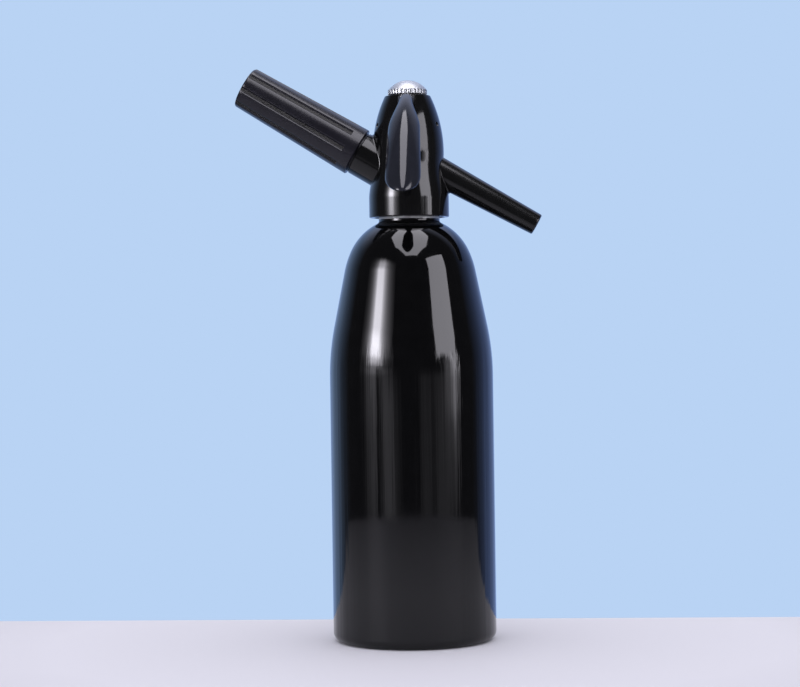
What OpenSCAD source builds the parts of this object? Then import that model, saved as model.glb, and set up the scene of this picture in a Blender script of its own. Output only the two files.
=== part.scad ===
// Soda siphon: pressure bottle with a screw-on lever head, spout and gas charger holder.
// Millimetres. The bottle stands on z = 0 on the Z axis, the lever points to -Y,
// the spout to +X and the charger holder to -X.

/* [Bottle] */
// Outside radius of the straight wall
body_r = 45; // [30:0.5:60]
// Height at which the shoulder meets the neck
shoulder_z = 231; // [180:1:320]
// Wall thickness of body and shoulder
wall = 1.5; // [0.8:0.1:3]
// Thickness of the bottle's floor
floor_t = 2; // [1:0.1:4]
// Rounding between wall and base
base_corner_r = 5; // [3:0.5:10]
// Slope of the tapered part, from the vertical
cone_angle = 11.4; // [4:0.2:20]
// Rounding between straight wall and taper
blend_r = 140; // [40:5:200]
// Lower shoulder rounding
shoulder_low_r = 50; // [20:1:80]
// Slope at which the lower rounding passes into the upper one
shoulder_mid_angle = 25; // [22:1:40]
// Upper shoulder rounding
shoulder_high_r = 31.5; // [12:0.5:50]
// Steepest slope of the shoulder, next to the neck
shoulder_end_angle = 64; // [45:1:80]
// Hollow rounding between shoulder and neck
neck_fillet_r = 1.5; // [0.5:0.1:5]
// Outside radius of the neck below the thread
neck_r = 16.8; // [12:0.1:24]
// Length of the neck above the shoulder
neck_h = 18; // [12:0.5:30]
// Wall of the neck
neck_wall = 2.5; // [1.5:0.1:4]
// Pitch of the neck thread
neck_pitch = 3.5; // [2:0.1:5]
// Height of the thread's ridge
neck_thread_h = 0.8; // [0.3:0.1:1.5]
// Turns of the neck thread
neck_turns = 2.5; // [1.5:0.5:4]

/* [Head] */
// Gap between shoulder and rim of the head
rim_gap = 1.8; // [0.5:0.1:5]
// Outside radius of the head's straight part
head_r = 22; // [20.5:0.1:30]
// Height of the straight part
head_cyl_h = 10.2; // [8:0.1:20]
// Height of the waist above the rim
waist_h = 29.6; // [28:0.2:36]
// Radius at the waist
waist_r = 19.35; // [18.5:0.05:24]
// Height of the widest point of the egg above the rim
bulge_h = 35.7; // [34:0.1:42]
// Radius at the widest point of the egg
bulge_r = 19.6; // [18.8:0.05:26]
// Rounding of the egg in side view
egg_r = 72; // [60:1:120]
// Height of the head's top above the rim
head_h = 67; // [66:0.2:75]
// Wall of the moulded shell
shell_wall = 2.4; // [1.5:0.1:3]
// Wall of the thread ring
ring_wall = 2.3; // [1.5:0.1:3]

/* [Valve] */
// Thickness of the neck gasket
gasket_t = 2; // [1:0.1:4]
// Thickness of the valve body's flange
flange_t = 3; // [2:0.2:5]
// Radius of the valve body's tower
tower_r = 10.3; // [9.8:0.1:10.6]
// Radius of the water chamber
chamber_r = 5.5; // [5.3:0.1:6.5]
// Height of the seat nut's thread in the flange
seat_thread_h = 5; // [4:0.2:5.4]
// Radius of the seat nut's thread
seat_thread_r = 7.4; // [6:0.1:7.6]
// Radius of the water passage in the seat
seat_bore_r = 2.8; // [2:0.1:3.2]
// Height of the water chamber
chamber_h = 16; // [15:0.2:17]
// Thickness of the gland above the chamber
gland_h = 5; // [4:0.2:5.5]
// Radius of the valve stem
stem_r = 2.5; // [2:0.1:2.8]
// Radius of the lift nut
lift_r = 4.4; // [4:0.1:4.6]
// Height of the lift nut
lift_h = 2.5; // [1.5:0.1:3]
// Wire thickness of the valve spring
spring_wire = 1.2; // [0.6:0.1:1.4]
// Turns of the valve spring
spring_turns = 5; // [3:0.5:6]
// Section radius of the O-rings on stem and cap
o_ring_r = 0.8; // [0.5:0.05:0.9]

/* [Dip tube] */
// Outside radius of the dip tube
tube_r = 4; // [3.2:0.1:4.4]
// Bore radius of the dip tube
tube_bore_r = 3; // [2:0.1:3.6]
// Gap between tube and floor
tube_gap = 4; // [2:0.5:20]

/* [Valve cap] */
// Radius of the serrated skirt
cap_r = 10.8; // [10.6:0.1:13]
// Height of the serrated skirt
cap_skirt_h = 2.8; // [2:0.1:5]
// Height of the dome above the skirt
cap_dome_h = 5.2; // [2:0.1:8]
// Number of serrations
cap_notches = 28; // [16:1:40]
// Depth of a serration
cap_notch_r = 0.6; // [0.2:0.05:0.7]
// Radius of the cap's screwed plug
plug_r = 8.4; // [8:0.1:8.8]

/* [Lever] */
// Forward distance of the hinge pin from the bottle axis
hinge_y = 7.4; // [7.2:0.1:8]
// Radius of the hinge pin
hinge_pin_r = 1.25; // [0.8:0.05:1.5]
// Forward distance of the lever's tip from the bottle axis
lever_reach = 63; // [45:1:80]
// Drop of the lever's tip below its root
lever_drop = 55.6; // [44:0.1:60]
// Slope of the lever where it leaves the head
lever_root_angle = 22; // [15:1:26]
// Slope of the lever at its tip
lever_tip_angle = 67; // [62:1:76]
// Greatest width of the paddle
lever_w = 18.9; // [16:0.1:24]
// Width of the paddle at the end of its first flare
lever_mid_w = 16.4; // [10:0.1:18]
// Width of the lever in the slot of the head
lever_root_w = 8.6; // [7.6:0.1:9]
// Thickness of the paddle
lever_t = 8.5; // [6:0.5:10]
// Fall of the paddle's two sides away from its ridge
ridge_fall = 0.7; // [0.3:0.05:0.9]
// Rounding of the paddle's ridge
ridge_round = 3.9; // [2:0.1:8]
// Length of the rounded tip
lever_tip_l = 10.5; // [8:0.5:16]

/* [Spout] */
// Slope of the spout below the horizontal
spout_angle = 29.5; // [29:0.5:31]
// Distance of the spout's tip from the bottle axis, along the spout
spout_len = 80.7; // [55:0.5:110]
// Outside radius at the spout's root
spout_root_r = 8.05; // [7:0.05:8.2]
// Outside radius at the spout's tip
spout_tip_r = 5.97; // [5:0.05:7]
// Radius of the spout's passage
spout_bore_r = 2.5; // [1.5:0.1:2.7]
// Radius of the outlet at the tip
outlet_r = 4.2; // [3:0.1:4.6]
// Length of the outlet
outlet_l = 12; // [6:0.5:20]

/* [Charger arm] */
// Slope of the charger arm above the horizontal
arm_angle = 31; // [30:0.5:32]
// Radius of the boss on the head
boss_r = 12.2; // [11.8:0.1:13]
// Distance of the boss's face from the bottle axis, along the arm
boss_len = 31.8; // [31:0.2:36]
// Radius of the socket's screwed nipple
nipple_r = 10; // [9.6:0.1:10.4]
// Length of the nipple
nipple_l = 11; // [10:0.5:12]
// Holder radius at its collar
holder_collar_r = 13.55; // [13:0.05:15]
// Holder radius at its outer end
holder_end_r = 11.8; // [11.6:0.05:14]
// Length of the smooth collar
holder_collar_l = 6.5; // [5:0.5:12]
// Thickness of the holder's end wall
holder_end_t = 4.9; // [2:0.1:6]
// Number of flutes
flutes = 8; // [6:1:12]
// Width of a flute at the surface
flute_w = 3.4; // [2:0.1:4]
// Depth of a flute
flute_d = 1; // [0.4:0.1:1.1]
// Radius of the gas charger
charger_r = 9.1; // [8.8:0.05:9.2]
// Length of the gas charger
charger_l = 65.5; // [60:0.1:66]
// Neck radius of the gas charger
charger_neck_r = 4.4; // [4:0.05:4.5]

/* [Fits] */
// Radial clearance of the screwed neck and holder
screw_clear = 0.15; // [0.1:0.01:0.3]
// Radial clearance of the sliding stem and the hinge pin
run_clear = 0.05; // [0.02:0.01:0.1]
// Gap on each side of the lever in its slot
slot_clear = 0.35; // [0.2:0.05:0.5]
// Gap of the lever's fork below the lift nut
fork_gap = 0.3; // [0.2:0.05:0.4]
// Gap between curved parts that only pass each other
pass_gap = 0.3; // [0.2:0.05:0.5]

/* [Hidden] */
$fn = 96;
// Length of a cut that passes right through
cut = 100;
// Overlap of a cut past the face that it opens
over = 1;
// Least overlap that keeps a cut open
eps = 0.1;

// Neck and its thread
mouth_z = shoulder_z + neck_h;
thread_root_r = neck_r - neck_thread_h;
neck_bore_r = thread_root_r - neck_wall;
neck_step_low = 0.2;
neck_step_high = 1;
thread_start = 3.2;
thread_sink = 0.4;

// Head and thread ring
ring_bore_r = neck_r + screw_clear;
ring_r = ring_bore_r + ring_wall;
ring_recess = 0.7;
rim_z = shoulder_z + rim_gap;
rim_chamfer = 0.6;
head_top_z = rim_z + head_h;
crown_t = 3;
crown_hole_h = 8;
boss_root = 12;
boss_bore_s = 10;

// Valve seat and stem
gasket_lip = 0.6;
flange_z = mouth_z + gasket_t;
flange_top_z = flange_z + flange_t;
seat_z = flange_z + seat_thread_h;
seat_lip_h = 1;
seat_lip_w = 1;
washer_z = seat_z + seat_lip_h;
washer_h = 2.5;
washer_r = 5;
stem_pin_r = 1.6;
stem_flange_z = washer_z + washer_h;
stem_flange_h = 1.5;
stem_flange_r = 4.6;
chamber_top_z = seat_z + chamber_h;
gland_top_z = chamber_top_z + gland_h;
gland_groove = 1.4;
groove_play = 0.2;

// Lever hinge, lift nut and spring
hinge_rise = 6.4;
hinge_z = gland_top_z + hinge_rise;
hub_wall = 1.65;
hub_r = hinge_pin_r + hub_wall;
prong_r = 1.3;
lift_z = hinge_z + prong_r + fork_gap;
stem_tail = 3.5;
stem_top_z = lift_z + lift_h + stem_tail;
slot_floor = 1;
slot_low_z = gland_top_z + slot_floor;
slot_rise = 6.2;
slot_top_z = hinge_z + slot_rise;
slot_half = lever_root_w / 2 + slot_clear;
lift_room = 1.8;
upper_bore_r = lift_r + lift_room;
pin_sink = 0.6;

// Valve cap
tower_drop = 0.5;
tower_top_z = head_top_z - tower_drop;
cap_gap = 0.5;
cap_z = head_top_z + cap_gap;
plug_gap = 1.4;
plug_z = slot_top_z + plug_gap;
plug_clear = 0.1;
plug_bore_r = plug_r + plug_clear;
plug_runout = 0.7;
plug_chamfer = 0.5;
cap_chamfer = 0.3;
notch_land = 0.4;
pocket_room = 0.8;
pocket_r = lift_r + pocket_room;
spring_inset = 0.2;
spring_r = lift_r - spring_inset - spring_wire / 2;
spring_sink = 1.3;
spring_top_z = cap_z - spring_sink;
cap_o_r = (cap_z - tower_top_z) / 2 - run_clear;

// Seat nut, bush and dip tube
nut_drop = 4.5;
nut_z = flange_z - nut_drop;
hex_h = 3.8;
hex_grip = 2;
seat_gasket_w = 1.5;
bush_h = 7;
bush_wall = 1.2;
bush_r = tube_r + bush_wall;
nut_socket_l = 8.5;
nut_socket_wall = 1.2;
nut_socket_z = nut_z - nut_socket_l;
tube_mitre = 30;

// Charger arm, distances along it from the bottle axis
arm_rise = 1.4;
arm_z = flange_z + arm_rise;
arm_pad_s = 9.5;
arm_pad_r = 7;
arm_seat = 17;
arm_gasket_t = 1;
arm_gasket_r = 6.6;
shank_hole_s = 12;
shank_s = 12.3;
shank_r = 3.6;
gas_hole_x = 11.2;
gas_hole_r = 1;
gas_hole_h = 7;
socket_body_r = 8.8;
socket_flange_t = 1;
socket_step = 0.6;
holder_s = boss_len + socket_flange_t;
nipple_end = holder_s + nipple_l;
nipple_chamfer = 0.7;
mouth_h = 2;
mouth_flare = 2.1;
check_bore_r = 2.4;
check_end = 3.5;
check_seat = 6;
check_flange_h = 2.4;
retainer_s = 14;
retainer_bore_r = 1.9;
pierce_r = 1.3;
seal_sink = 0.7;
seal_s = boss_len + seal_sink;
seal_t = 1.9;
neck_clear = 0.5;
end_play = 0.1;
charger_s = seal_s + seal_t + end_play;
charger_end = charger_s + charger_l;
charger_shell = 1.4;
charger_neck_l = 9;
charger_shoulder_l = 12;
charger_base_r = 4;
charger_chamfer = 0.6;
charger_hole_r = 1.5;
holder_bore_r = charger_r + pass_gap;
holder_cavity_end = charger_end + end_play;
holder_end = holder_cavity_end + holder_end_t;
holder_chamfer = 0.4;
holder_round = 1.2;
thread_bore_r = nipple_r + screw_clear;
thread_runout = 1.5;
flute_phase = -100.6;
flute_floor_share = 0.5;

// Spout, distances along it from the bottle axis
spout_rise = 11.4;
spout_z = seat_z + spout_rise;
spout_pad_s = 4;
spout_pad_r = 7;
spout_hole_s = 12;
spout_seat = 14.5;
spout_chamfer = 0.8;
spigot_end = 9;
spigot_r = 4.3;
spigot_groove = 1.8;
spigot_groove_w = 1.4;
spigot_groove_d = 1.1;
spigot_ring_r = 0.53;

// The pin ends just below the surface of the egg at its own height
egg_at_hinge = bulge_r - egg_r + sqrt(egg_r * egg_r - pow(hinge_z - rim_z - bulge_h, 2));
pin_half = sqrt(egg_at_hinge * egg_at_hinge - hinge_y * hinge_y) - pin_sink;

// Unit vector in the profile plane
function dir(a) = [cos(a), sin(a)];
// Arc round a centre from one angle to another
function arc(c, r, a0, a1, n) = [for (i = [0 : n]) c + r * dir(a0 + (a1 - a0) * i / n)];
// Smooth step from 0 to 1
function ease(t) = t <= 0 ? 0 : t >= 1 ? 1 : (1 - cos(180 * t)) / 2;

// Side outline of the bottle from neck to base, moved inward by a wall thickness
shoulder_p = [neck_r + neck_fillet_r, shoulder_z] - neck_fillet_r * dir(shoulder_end_angle);
high_c = shoulder_p - shoulder_high_r * dir(shoulder_end_angle);
mid_p = high_c + shoulder_high_r * dir(shoulder_mid_angle);
low_c = mid_p - shoulder_low_r * dir(shoulder_mid_angle);
cone_top = low_c + shoulder_low_r * dir(cone_angle);
cone_low_r = body_r - blend_r * (1 - cos(cone_angle));
cone_low_z = cone_top[1] - (cone_low_r - cone_top[0]) / tan(cone_angle);
blend_c = [body_r - blend_r, cone_low_z - blend_r * sin(cone_angle)];
function bottle_side(off) = concat(
  arc(high_c, shoulder_high_r - off, shoulder_end_angle, shoulder_mid_angle, 10),
  arc(low_c, shoulder_low_r - off, shoulder_mid_angle, cone_angle, 5),
  arc(blend_c, blend_r - off, cone_angle, 0, 6));
inner_top = high_c + (shoulder_high_r - wall) * dir(shoulder_end_angle);
inner_neck_z = inner_top[1] + (inner_top[0] - neck_bore_r) / tan(shoulder_end_angle);

// Side outline of the head from rim to top, moved inward by a wall thickness
function head_side(off) = concat(
  [for (i = [0 : 10]) [head_r + (waist_r - head_r) * ease(i / 10) - off,
    rim_z + head_cyl_h + (waist_h - head_cyl_h) * i / 10]],
  [for (i = [1 : 4]) [waist_r + (bulge_r - waist_r) * ease(i / 4) - off,
    rim_z + waist_h + (bulge_h - waist_h) * i / 4]],
  arc([bulge_r - egg_r - off, rim_z + bulge_h], egg_r, 2,
    asin((head_h - bulge_h) / egg_r), 12));

module turned(points) {
  rotate_extrude() polygon(points);
}

module ring(r_out, r_in, h) {
  difference() {
    cylinder(r = r_out, h = h);
    translate([0, 0, -over]) cylinder(r = r_in, h = h + 2 * over);
  }
}

module o_ring(r_mean, r_section) {
  rotate_extrude() translate([r_mean, 0]) circle(r = r_section);
}

// Places children on the charger arm, their +Z pointing outward
module on_arm(s) {
  translate([0, 0, arm_z]) rotate([0, arm_angle - 90, 0]) translate([0, 0, s]) children();
}

// Places children on the spout, their +Z pointing outward
module on_spout(s) {
  translate([0, 0, spout_z]) rotate([0, 90 + spout_angle, 0]) translate([0, 0, s]) children();
}

// Closed strip swept along a helix: sections of four or more points
function strip_faces(n, m) = concat(
  [[for (k = [m - 1 : -1 : 0]) k]],
  [for (i = [0 : n - 2], k = [0 : m - 1]) each [
    [m * i + k, m * i + (k + 1) % m, m * (i + 1) + k],
    [m * i + (k + 1) % m, m * (i + 1) + (k + 1) % m, m * (i + 1) + k]]],
  [[for (k = [0 : m - 1]) m * (n - 1) + k]]);

// Ridge of an outside thread with run-out at both ends
module thread_ridge(r_root, r_crest, pitch, turns) {
  seg = 36;
  n = floor(seg * turns) + 1;
  w_root = pitch * 0.6;
  w_crest = pitch * 0.25;
  points = [for (i = [0 : n - 1])
    let (a = 360 * i / seg, z = pitch * i / seg,
      rise = max(0.02, min(1, 4 * i / seg, 4 * (n - 1 - i) / seg)),
      r = r_root + (r_crest - r_root) * rise)
    for (p = [[r_root, z - w_root / 2], [r_root, z + w_root / 2],
        [r, z + w_crest / 2], [r, z - w_crest / 2]])
      [p[0] * cos(a), p[0] * sin(a), p[1]]];
  polyhedron(points = points, faces = strip_faces(n, 4), convexity = 8);
}

module bottle() {
  color([0.02, 0.02, 0.025]) {
    difference() {
      turned(concat(
        [[0, mouth_z], [thread_root_r, mouth_z], [thread_root_r, rim_z + neck_step_high],
          [neck_r, rim_z + neck_step_low]],
        arc([neck_r + neck_fillet_r, shoulder_z], -neck_fillet_r, 0, shoulder_end_angle - 4, 4),
        bottle_side(0),
        arc([body_r - base_corner_r, base_corner_r], base_corner_r, 0, -90, 8),
        [[0, 0]]));
      turned(concat(
        [[0, mouth_z + over], [neck_bore_r, mouth_z + over], [neck_bore_r, inner_neck_z]],
        bottle_side(wall),
        arc([body_r - base_corner_r, floor_t + base_corner_r - wall], base_corner_r - wall, 0, -90, 6),
        [[0, floor_t]]));
    }
    translate([0, 0, rim_z + thread_start])
      thread_ridge(thread_root_r - thread_sink, neck_r, neck_pitch, neck_turns);
  }
}

module neck_gasket() {
  color([0.75, 0.2, 0.15])
    translate([0, 0, mouth_z]) ring(ring_bore_r - pass_gap, neck_bore_r - gasket_lip, gasket_t);
}

module thread_ring() {
  color([0.7, 0.71, 0.73])
    translate([0, 0, rim_z + ring_recess])
      ring(ring_r, ring_bore_r, flange_z - rim_z - ring_recess);
}

// Solid with the outline of the head
module head_form(off) {
  turned(concat([[0, rim_z], [head_r - off - rim_chamfer, rim_z],
    [head_r - off, rim_z + rim_chamfer]],
    head_side(off), [[0, head_top_z]]));
}

// Hole for the hinge pin, right through
module hinge_hole(r) {
  translate([-cut / 2, -hinge_y, hinge_z]) rotate([0, 90, 0]) cylinder(r = r, h = cut);
}

module head_shell() {
  color([0.03, 0.03, 0.03])
    difference() {
      union() {
        head_form(0);
        on_arm(boss_root) cylinder(r = boss_r, h = boss_len - boss_root);
      }
      translate([0, 0, rim_z - over]) cylinder(r = ring_r, h = flange_top_z - rim_z + over);
      intersection() {
        head_form(shell_wall);
        translate([0, 0, flange_top_z])
          cylinder(r = head_r, h = head_top_z - flange_top_z - crown_t);
      }
      translate([0, 0, head_top_z - crown_hole_h]) cylinder(r = tower_r + pass_gap, h = cut);
      on_arm(boss_bore_s) cylinder(r = socket_body_r + pass_gap, h = boss_len);
      on_spout(spout_hole_s) cylinder(r = spigot_r, h = cut);
      translate([-slot_half, -cut, slot_low_z]) cube([2 * slot_half, cut, cut]);
      hinge_hole(hinge_pin_r);
    }
}

module valve_body() {
  color([0.72, 0.6, 0.3])
    difference() {
      union() {
        translate([0, 0, flange_z]) cylinder(r = ring_r, h = flange_t);
        translate([0, 0, flange_z]) cylinder(r = tower_r, h = tower_top_z - flange_z);
        on_arm(arm_pad_s) cylinder(r = arm_pad_r, h = arm_seat - arm_pad_s);
        on_spout(spout_pad_s) cylinder(r = spout_pad_r, h = spout_seat - spout_pad_s);
      }
      translate([0, 0, flange_z - over]) cylinder(r = seat_thread_r, h = seat_thread_h + over);
      translate([0, 0, seat_z - over]) cylinder(r = chamber_r, h = chamber_h + over);
      translate([0, 0, chamber_top_z - over])
        cylinder(r = stem_r + run_clear, h = gland_h + 2 * over);
      translate([0, 0, chamber_top_z + gland_groove])
        cylinder(r = stem_r + 2 * (o_ring_r + run_clear), h = 2 * (o_ring_r + groove_play));
      translate([0, 0, gland_top_z]) cylinder(r = upper_bore_r, h = cut);
      translate([0, 0, plug_z - plug_runout]) cylinder(r = plug_bore_r, h = cut);
      translate([-slot_half, -cut, slot_low_z]) cube([2 * slot_half, cut, slot_top_z - slot_low_z]);
      hinge_hole(hinge_pin_r);
      on_arm(shank_hole_s) cylinder(r = shank_r, h = cut);
      translate([-gas_hole_x, 0, flange_z - over]) cylinder(r = gas_hole_r, h = gas_hole_h + over);
      on_spout(spout_pad_s) cylinder(r = spigot_r, h = cut);
    }
}

module seat_nut() {
  color([0.75, 0.63, 0.32])
    difference() {
      union() {
        translate([0, 0, nut_z]) cylinder(r = seat_thread_r, h = seat_z - nut_z);
        translate([0, 0, nut_z]) cylinder(r = seat_thread_r + hex_grip, h = hex_h, $fn = 6);
        translate([0, 0, nut_socket_z]) cylinder(r = bush_r + nut_socket_wall, h = nut_socket_l);
        translate([0, 0, seat_z]) cylinder(r = seat_bore_r + seat_lip_w, h = seat_lip_h);
      }
      translate([0, 0, nut_socket_z - over]) cylinder(r = bush_r, h = nut_socket_l + over);
      translate([0, 0, nut_z - over]) cylinder(r = seat_bore_r, h = cut);
    }
}

module seat_gasket() {
  color([0.15, 0.15, 0.15])
    translate([0, 0, nut_z + hex_h])
      ring(seat_thread_r + seat_gasket_w, seat_thread_r, nut_drop - hex_h);
}

module tube_bush() {
  color([0.15, 0.15, 0.15])
    translate([0, 0, nut_z - bush_h]) ring(bush_r, tube_r, bush_h);
}

module dip_tube() {
  color([0.92, 0.92, 0.9])
    difference() {
      translate([0, 0, floor_t + tube_gap])
        ring(tube_r, tube_bore_r, nut_z - floor_t - tube_gap);
      translate([0, 0, floor_t + tube_gap]) rotate([0, tube_mitre, 0])
        translate([-cut / 2, -cut / 2, -cut]) cube(cut);
    }
}

module valve_stem() {
  color([0.8, 0.8, 0.82]) {
    translate([0, 0, washer_z]) cylinder(r = stem_pin_r, h = washer_h);
    translate([0, 0, stem_flange_z]) cylinder(r = stem_flange_r, h = stem_flange_h);
    translate([0, 0, stem_flange_z]) cylinder(r = stem_r, h = stem_top_z - stem_flange_z);
  }
}

module valve_washer() {
  color([0.12, 0.12, 0.12])
    translate([0, 0, washer_z]) ring(washer_r, stem_pin_r, washer_h);
}

module stem_o_ring() {
  color([0.1, 0.1, 0.1])
    translate([0, 0, chamber_top_z + gland_groove + groove_play + o_ring_r])
      o_ring(stem_r + run_clear + o_ring_r, o_ring_r);
}

module lift_nut() {
  color([0.75, 0.75, 0.77])
    translate([0, 0, lift_z]) ring(lift_r, stem_r, lift_h);
}

module valve_spring() {
  seg = 20;
  m = 8;
  n = floor(seg * spring_turns) + 1;
  z0 = lift_z + lift_h + spring_wire / 2;
  rise = spring_top_z - z0 - spring_wire / 2;
  slope = atan(rise / (spring_turns * 2 * PI * spring_r));
  points = [for (i = [0 : n - 1], k = [0 : m - 1])
    let (a = 360 * i / seg, f = 360 * k / m + 180 / m,
      u = spring_wire / 2 * cos(f), v = spring_wire / 2 * sin(f),
      r = spring_r + u, z = z0 + rise * i / (n - 1) + v * cos(slope), t = v * sin(slope))
      [r * cos(a) + t * sin(a), r * sin(a) - t * cos(a), z]];
  color([0.7, 0.7, 0.72])
    polyhedron(points = points, faces = strip_faces(n, m), convexity = 10);
}

module valve_cap() {
  dome_foot = cap_r - cap_chamfer;
  dome_r = (dome_foot * dome_foot + cap_dome_h * cap_dome_h) / (2 * cap_dome_h);
  dome_z = cap_z + cap_skirt_h + cap_dome_h - dome_r;
  color([0.85, 0.86, 0.88])
    difference() {
      turned(concat(
        [[0, plug_z], [plug_r - plug_chamfer, plug_z], [plug_r, plug_z + plug_chamfer],
          [plug_r, cap_z], [cap_r - cap_chamfer, cap_z], [cap_r, cap_z + cap_chamfer],
          [cap_r, cap_z + cap_skirt_h - cap_chamfer]],
        arc([0, dome_z], dome_r, asin((cap_z + cap_skirt_h - dome_z) / dome_r), 88, 8),
        [[0, dome_z + dome_r]]));
      translate([0, 0, plug_z - over]) cylinder(r = pocket_r, h = spring_top_z - plug_z + over);
      for (i = [0 : cap_notches - 1])
        rotate([0, 0, 360 * i / cap_notches]) translate([cap_r + eps, 0, cap_z - over])
          cylinder(r = cap_notch_r, h = cap_skirt_h + over - notch_land, $fn = 24);
    }
}

module cap_o_ring() {
  color([0.1, 0.1, 0.1])
    translate([0, 0, (cap_z + tower_top_z) / 2]) o_ring(plug_bore_r + cap_o_r, cap_o_r);
}

// Ridge of the lever: a curve in the plane of forward distance and height
ridge_y = 13.4;
ridge_rise = 0.2;
ridge_z = head_top_z + ridge_rise;
flare_start = 7;
flare_len = 26;
spread_start = 24;
spread_len = 40;
lever_root_t = 7;
lever_root_l = 8;
edge_share = 0.8;
edge_round = 2.2;
edge_power = 4;
tip_sink = 0.2;
tip_power = 2;
side_power = 0.8;
ridge_chord = [lever_reach - ridge_y, -lever_drop];
ridge_out = [cos(lever_root_angle), -sin(lever_root_angle)];
ridge_down = [cos(lever_tip_angle), -sin(lever_tip_angle)];
ridge_first = cross(ridge_chord, ridge_down) / cross(ridge_out, ridge_down);
ridge_last = cross(ridge_out, ridge_chord) / cross(ridge_out, ridge_down);
ridge_len = (2 * norm(ridge_chord) + ridge_first + ridge_last) / 3;
function ridge_point(t) = [ridge_y, ridge_z] + ridge_first * (2 * t - t * t) * ridge_out
  + ridge_last * t * t * ridge_down;
function ridge_normal(t) = let (way = ridge_first * (1 - t) * ridge_out + ridge_last * t * ridge_down)
  [-way[1], way[0]] / norm(way);
function tip_shrink(s) = s <= ridge_len - lever_tip_l ? 1
  : sqrt(max(0.0008, 1 - pow((s - ridge_len + lever_tip_l) / lever_tip_l, tip_power)));
function lever_half(s) = tip_shrink(s) / 2
  * (lever_root_w + (lever_mid_w - lever_root_w) * ease((s - flare_start) / flare_len)
  + (lever_w - lever_mid_w) * min(1, max(0, (s - spread_start) / spread_len)));
function lever_thick(s) = (lever_root_t
  + (lever_t - lever_root_t) * ease(s / lever_root_l)) * tip_shrink(s);

// Depth below the ridge at a distance to the side: a rounded crest between two slopes
function roof(x) = ridge_fall * ridge_round * (sqrt(1 + pow(x / ridge_round, 2)) - 1);

// Cross-section of the paddle at a distance along the ridge
function lever_section(s, m) =
  let (w = lever_half(s), t = lever_thick(s), n = ridge_normal(s / ridge_len),
    p = ridge_point(s / ridge_len),
    flat = min(1, t * edge_share / (roof(w) + edge_round)),
    edge = flat * (roof(w) + edge_round),
    sink = lever_t * tip_sink * pow(1 - tip_shrink(s), 2))
  [for (k = [0 : m - 1])
    let (c = cos(360 * k / m), q = sin(360 * k / m),
      x = -w * sign(c) * pow(abs(c), q >= 0 ? 1 : side_power),
      depth = sink + (q >= 0 ? flat * (roof(x) + edge_round * (1 - sqrt(1 - pow(c, edge_power))))
        : edge + (t - edge) * pow(-q, side_power)),
      f = p - depth * n)
    [x, -f[0], f[1]]];

module paddle() {
  m = 24;
  body = 18;
  tip = 10;
  steps = concat([for (i = [0 : body]) (ridge_len - lever_tip_l) * i / body],
    [for (i = [1 : tip]) ridge_len - lever_tip_l + lever_tip_l * sin(90 * i / tip)]);
  points = [for (s = steps) each lever_section(s, m)];
  polyhedron(points = points, faces = strip_faces(len(steps), m), convexity = 4);
}

module lever() {
  prong_w = lever_root_w / 2 - stem_r - pass_gap;
  color([0.03, 0.03, 0.03])
    difference() {
      union() {
        paddle();
        rotate([90, 0, -90]) {
          linear_extrude(height = lever_root_w, center = true) {
            translate([hinge_y, hinge_z]) circle(r = hub_r);
            polygon([[hinge_y - 1.2, hinge_z + 2.4], [tower_r + 0.6, slot_top_z - 0.5],
              [tower_r + 0.6, ridge_z - 5], [ridge_y + 0.3, ridge_z - 1.6],
              [ridge_y + 7, ridge_z - 7], [ridge_y + 4, hinge_z + 2],
              [hinge_y + 1.5, hinge_z - 2.4]]);
          }
          for (side = [-1, 1])
            translate([0, hinge_z, side * (lever_root_w - prong_w) / 2])
              linear_extrude(height = prong_w, center = true) {
                circle(r = prong_r);
                translate([0, -prong_r]) square([hinge_y, 2 * prong_r]);
              }
        }
      }
      hinge_hole(hinge_pin_r + run_clear);
    }
}

module hinge_pin() {
  color([0.75, 0.75, 0.77])
    translate([-pin_half, -hinge_y, hinge_z]) rotate([0, 90, 0])
      cylinder(r = hinge_pin_r, h = 2 * pin_half);
}

module spout() {
  color([0.03, 0.03, 0.03])
    difference() {
      union() {
        difference() {
          on_spout(0) turned([[0, spout_seat], [spout_root_r, spout_seat],
            [spout_tip_r, spout_len - spout_chamfer], [spout_tip_r - spout_chamfer, spout_len],
            [0, spout_len]]);
          head_form(-run_clear);
        }
        on_spout(spigot_end) cylinder(r = spigot_r, h = spout_len / 2);
      }
      on_spout(spigot_end - over) cylinder(r = spout_bore_r, h = spout_len);
      on_spout(spout_len - outlet_l) cylinder(r = outlet_r, h = outlet_l + over);
      on_spout(spigot_end + spigot_groove)
        ring(spigot_r + over, spigot_r - spigot_groove_d, spigot_groove_w);
    }
}

module spout_o_ring() {
  color([0.1, 0.1, 0.1])
    on_spout(spigot_end + spigot_groove + spigot_groove_w / 2)
      o_ring(spigot_r - spigot_groove_d / 2, spigot_ring_r);
}

module charger_socket() {
  color([0.62, 0.63, 0.65])
    on_arm(0) difference() {
      turned([[0, shank_s], [shank_r, shank_s], [shank_r, arm_seat + arm_gasket_t],
        [socket_body_r, arm_seat + arm_gasket_t], [socket_body_r, boss_len],
        [boss_r - socket_step, boss_len], [boss_r - socket_step, holder_s], [nipple_r, holder_s],
        [nipple_r, nipple_end - nipple_chamfer], [nipple_r - nipple_chamfer, nipple_end],
        [0, nipple_end]]);
      translate([0, 0, shank_s - over])
        cylinder(r = check_bore_r, h = boss_len - check_end - shank_s + over);
      translate([0, 0, shank_s]) cylinder(r = pierce_r, h = cut);
      translate([0, 0, seal_s]) cylinder(r = charger_neck_r + neck_clear, h = cut);
      translate([0, 0, nipple_end - mouth_h])
        cylinder(r1 = charger_neck_r + neck_clear, r2 = charger_neck_r + neck_clear + mouth_flare,
          h = mouth_h + eps);
    }
}

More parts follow.
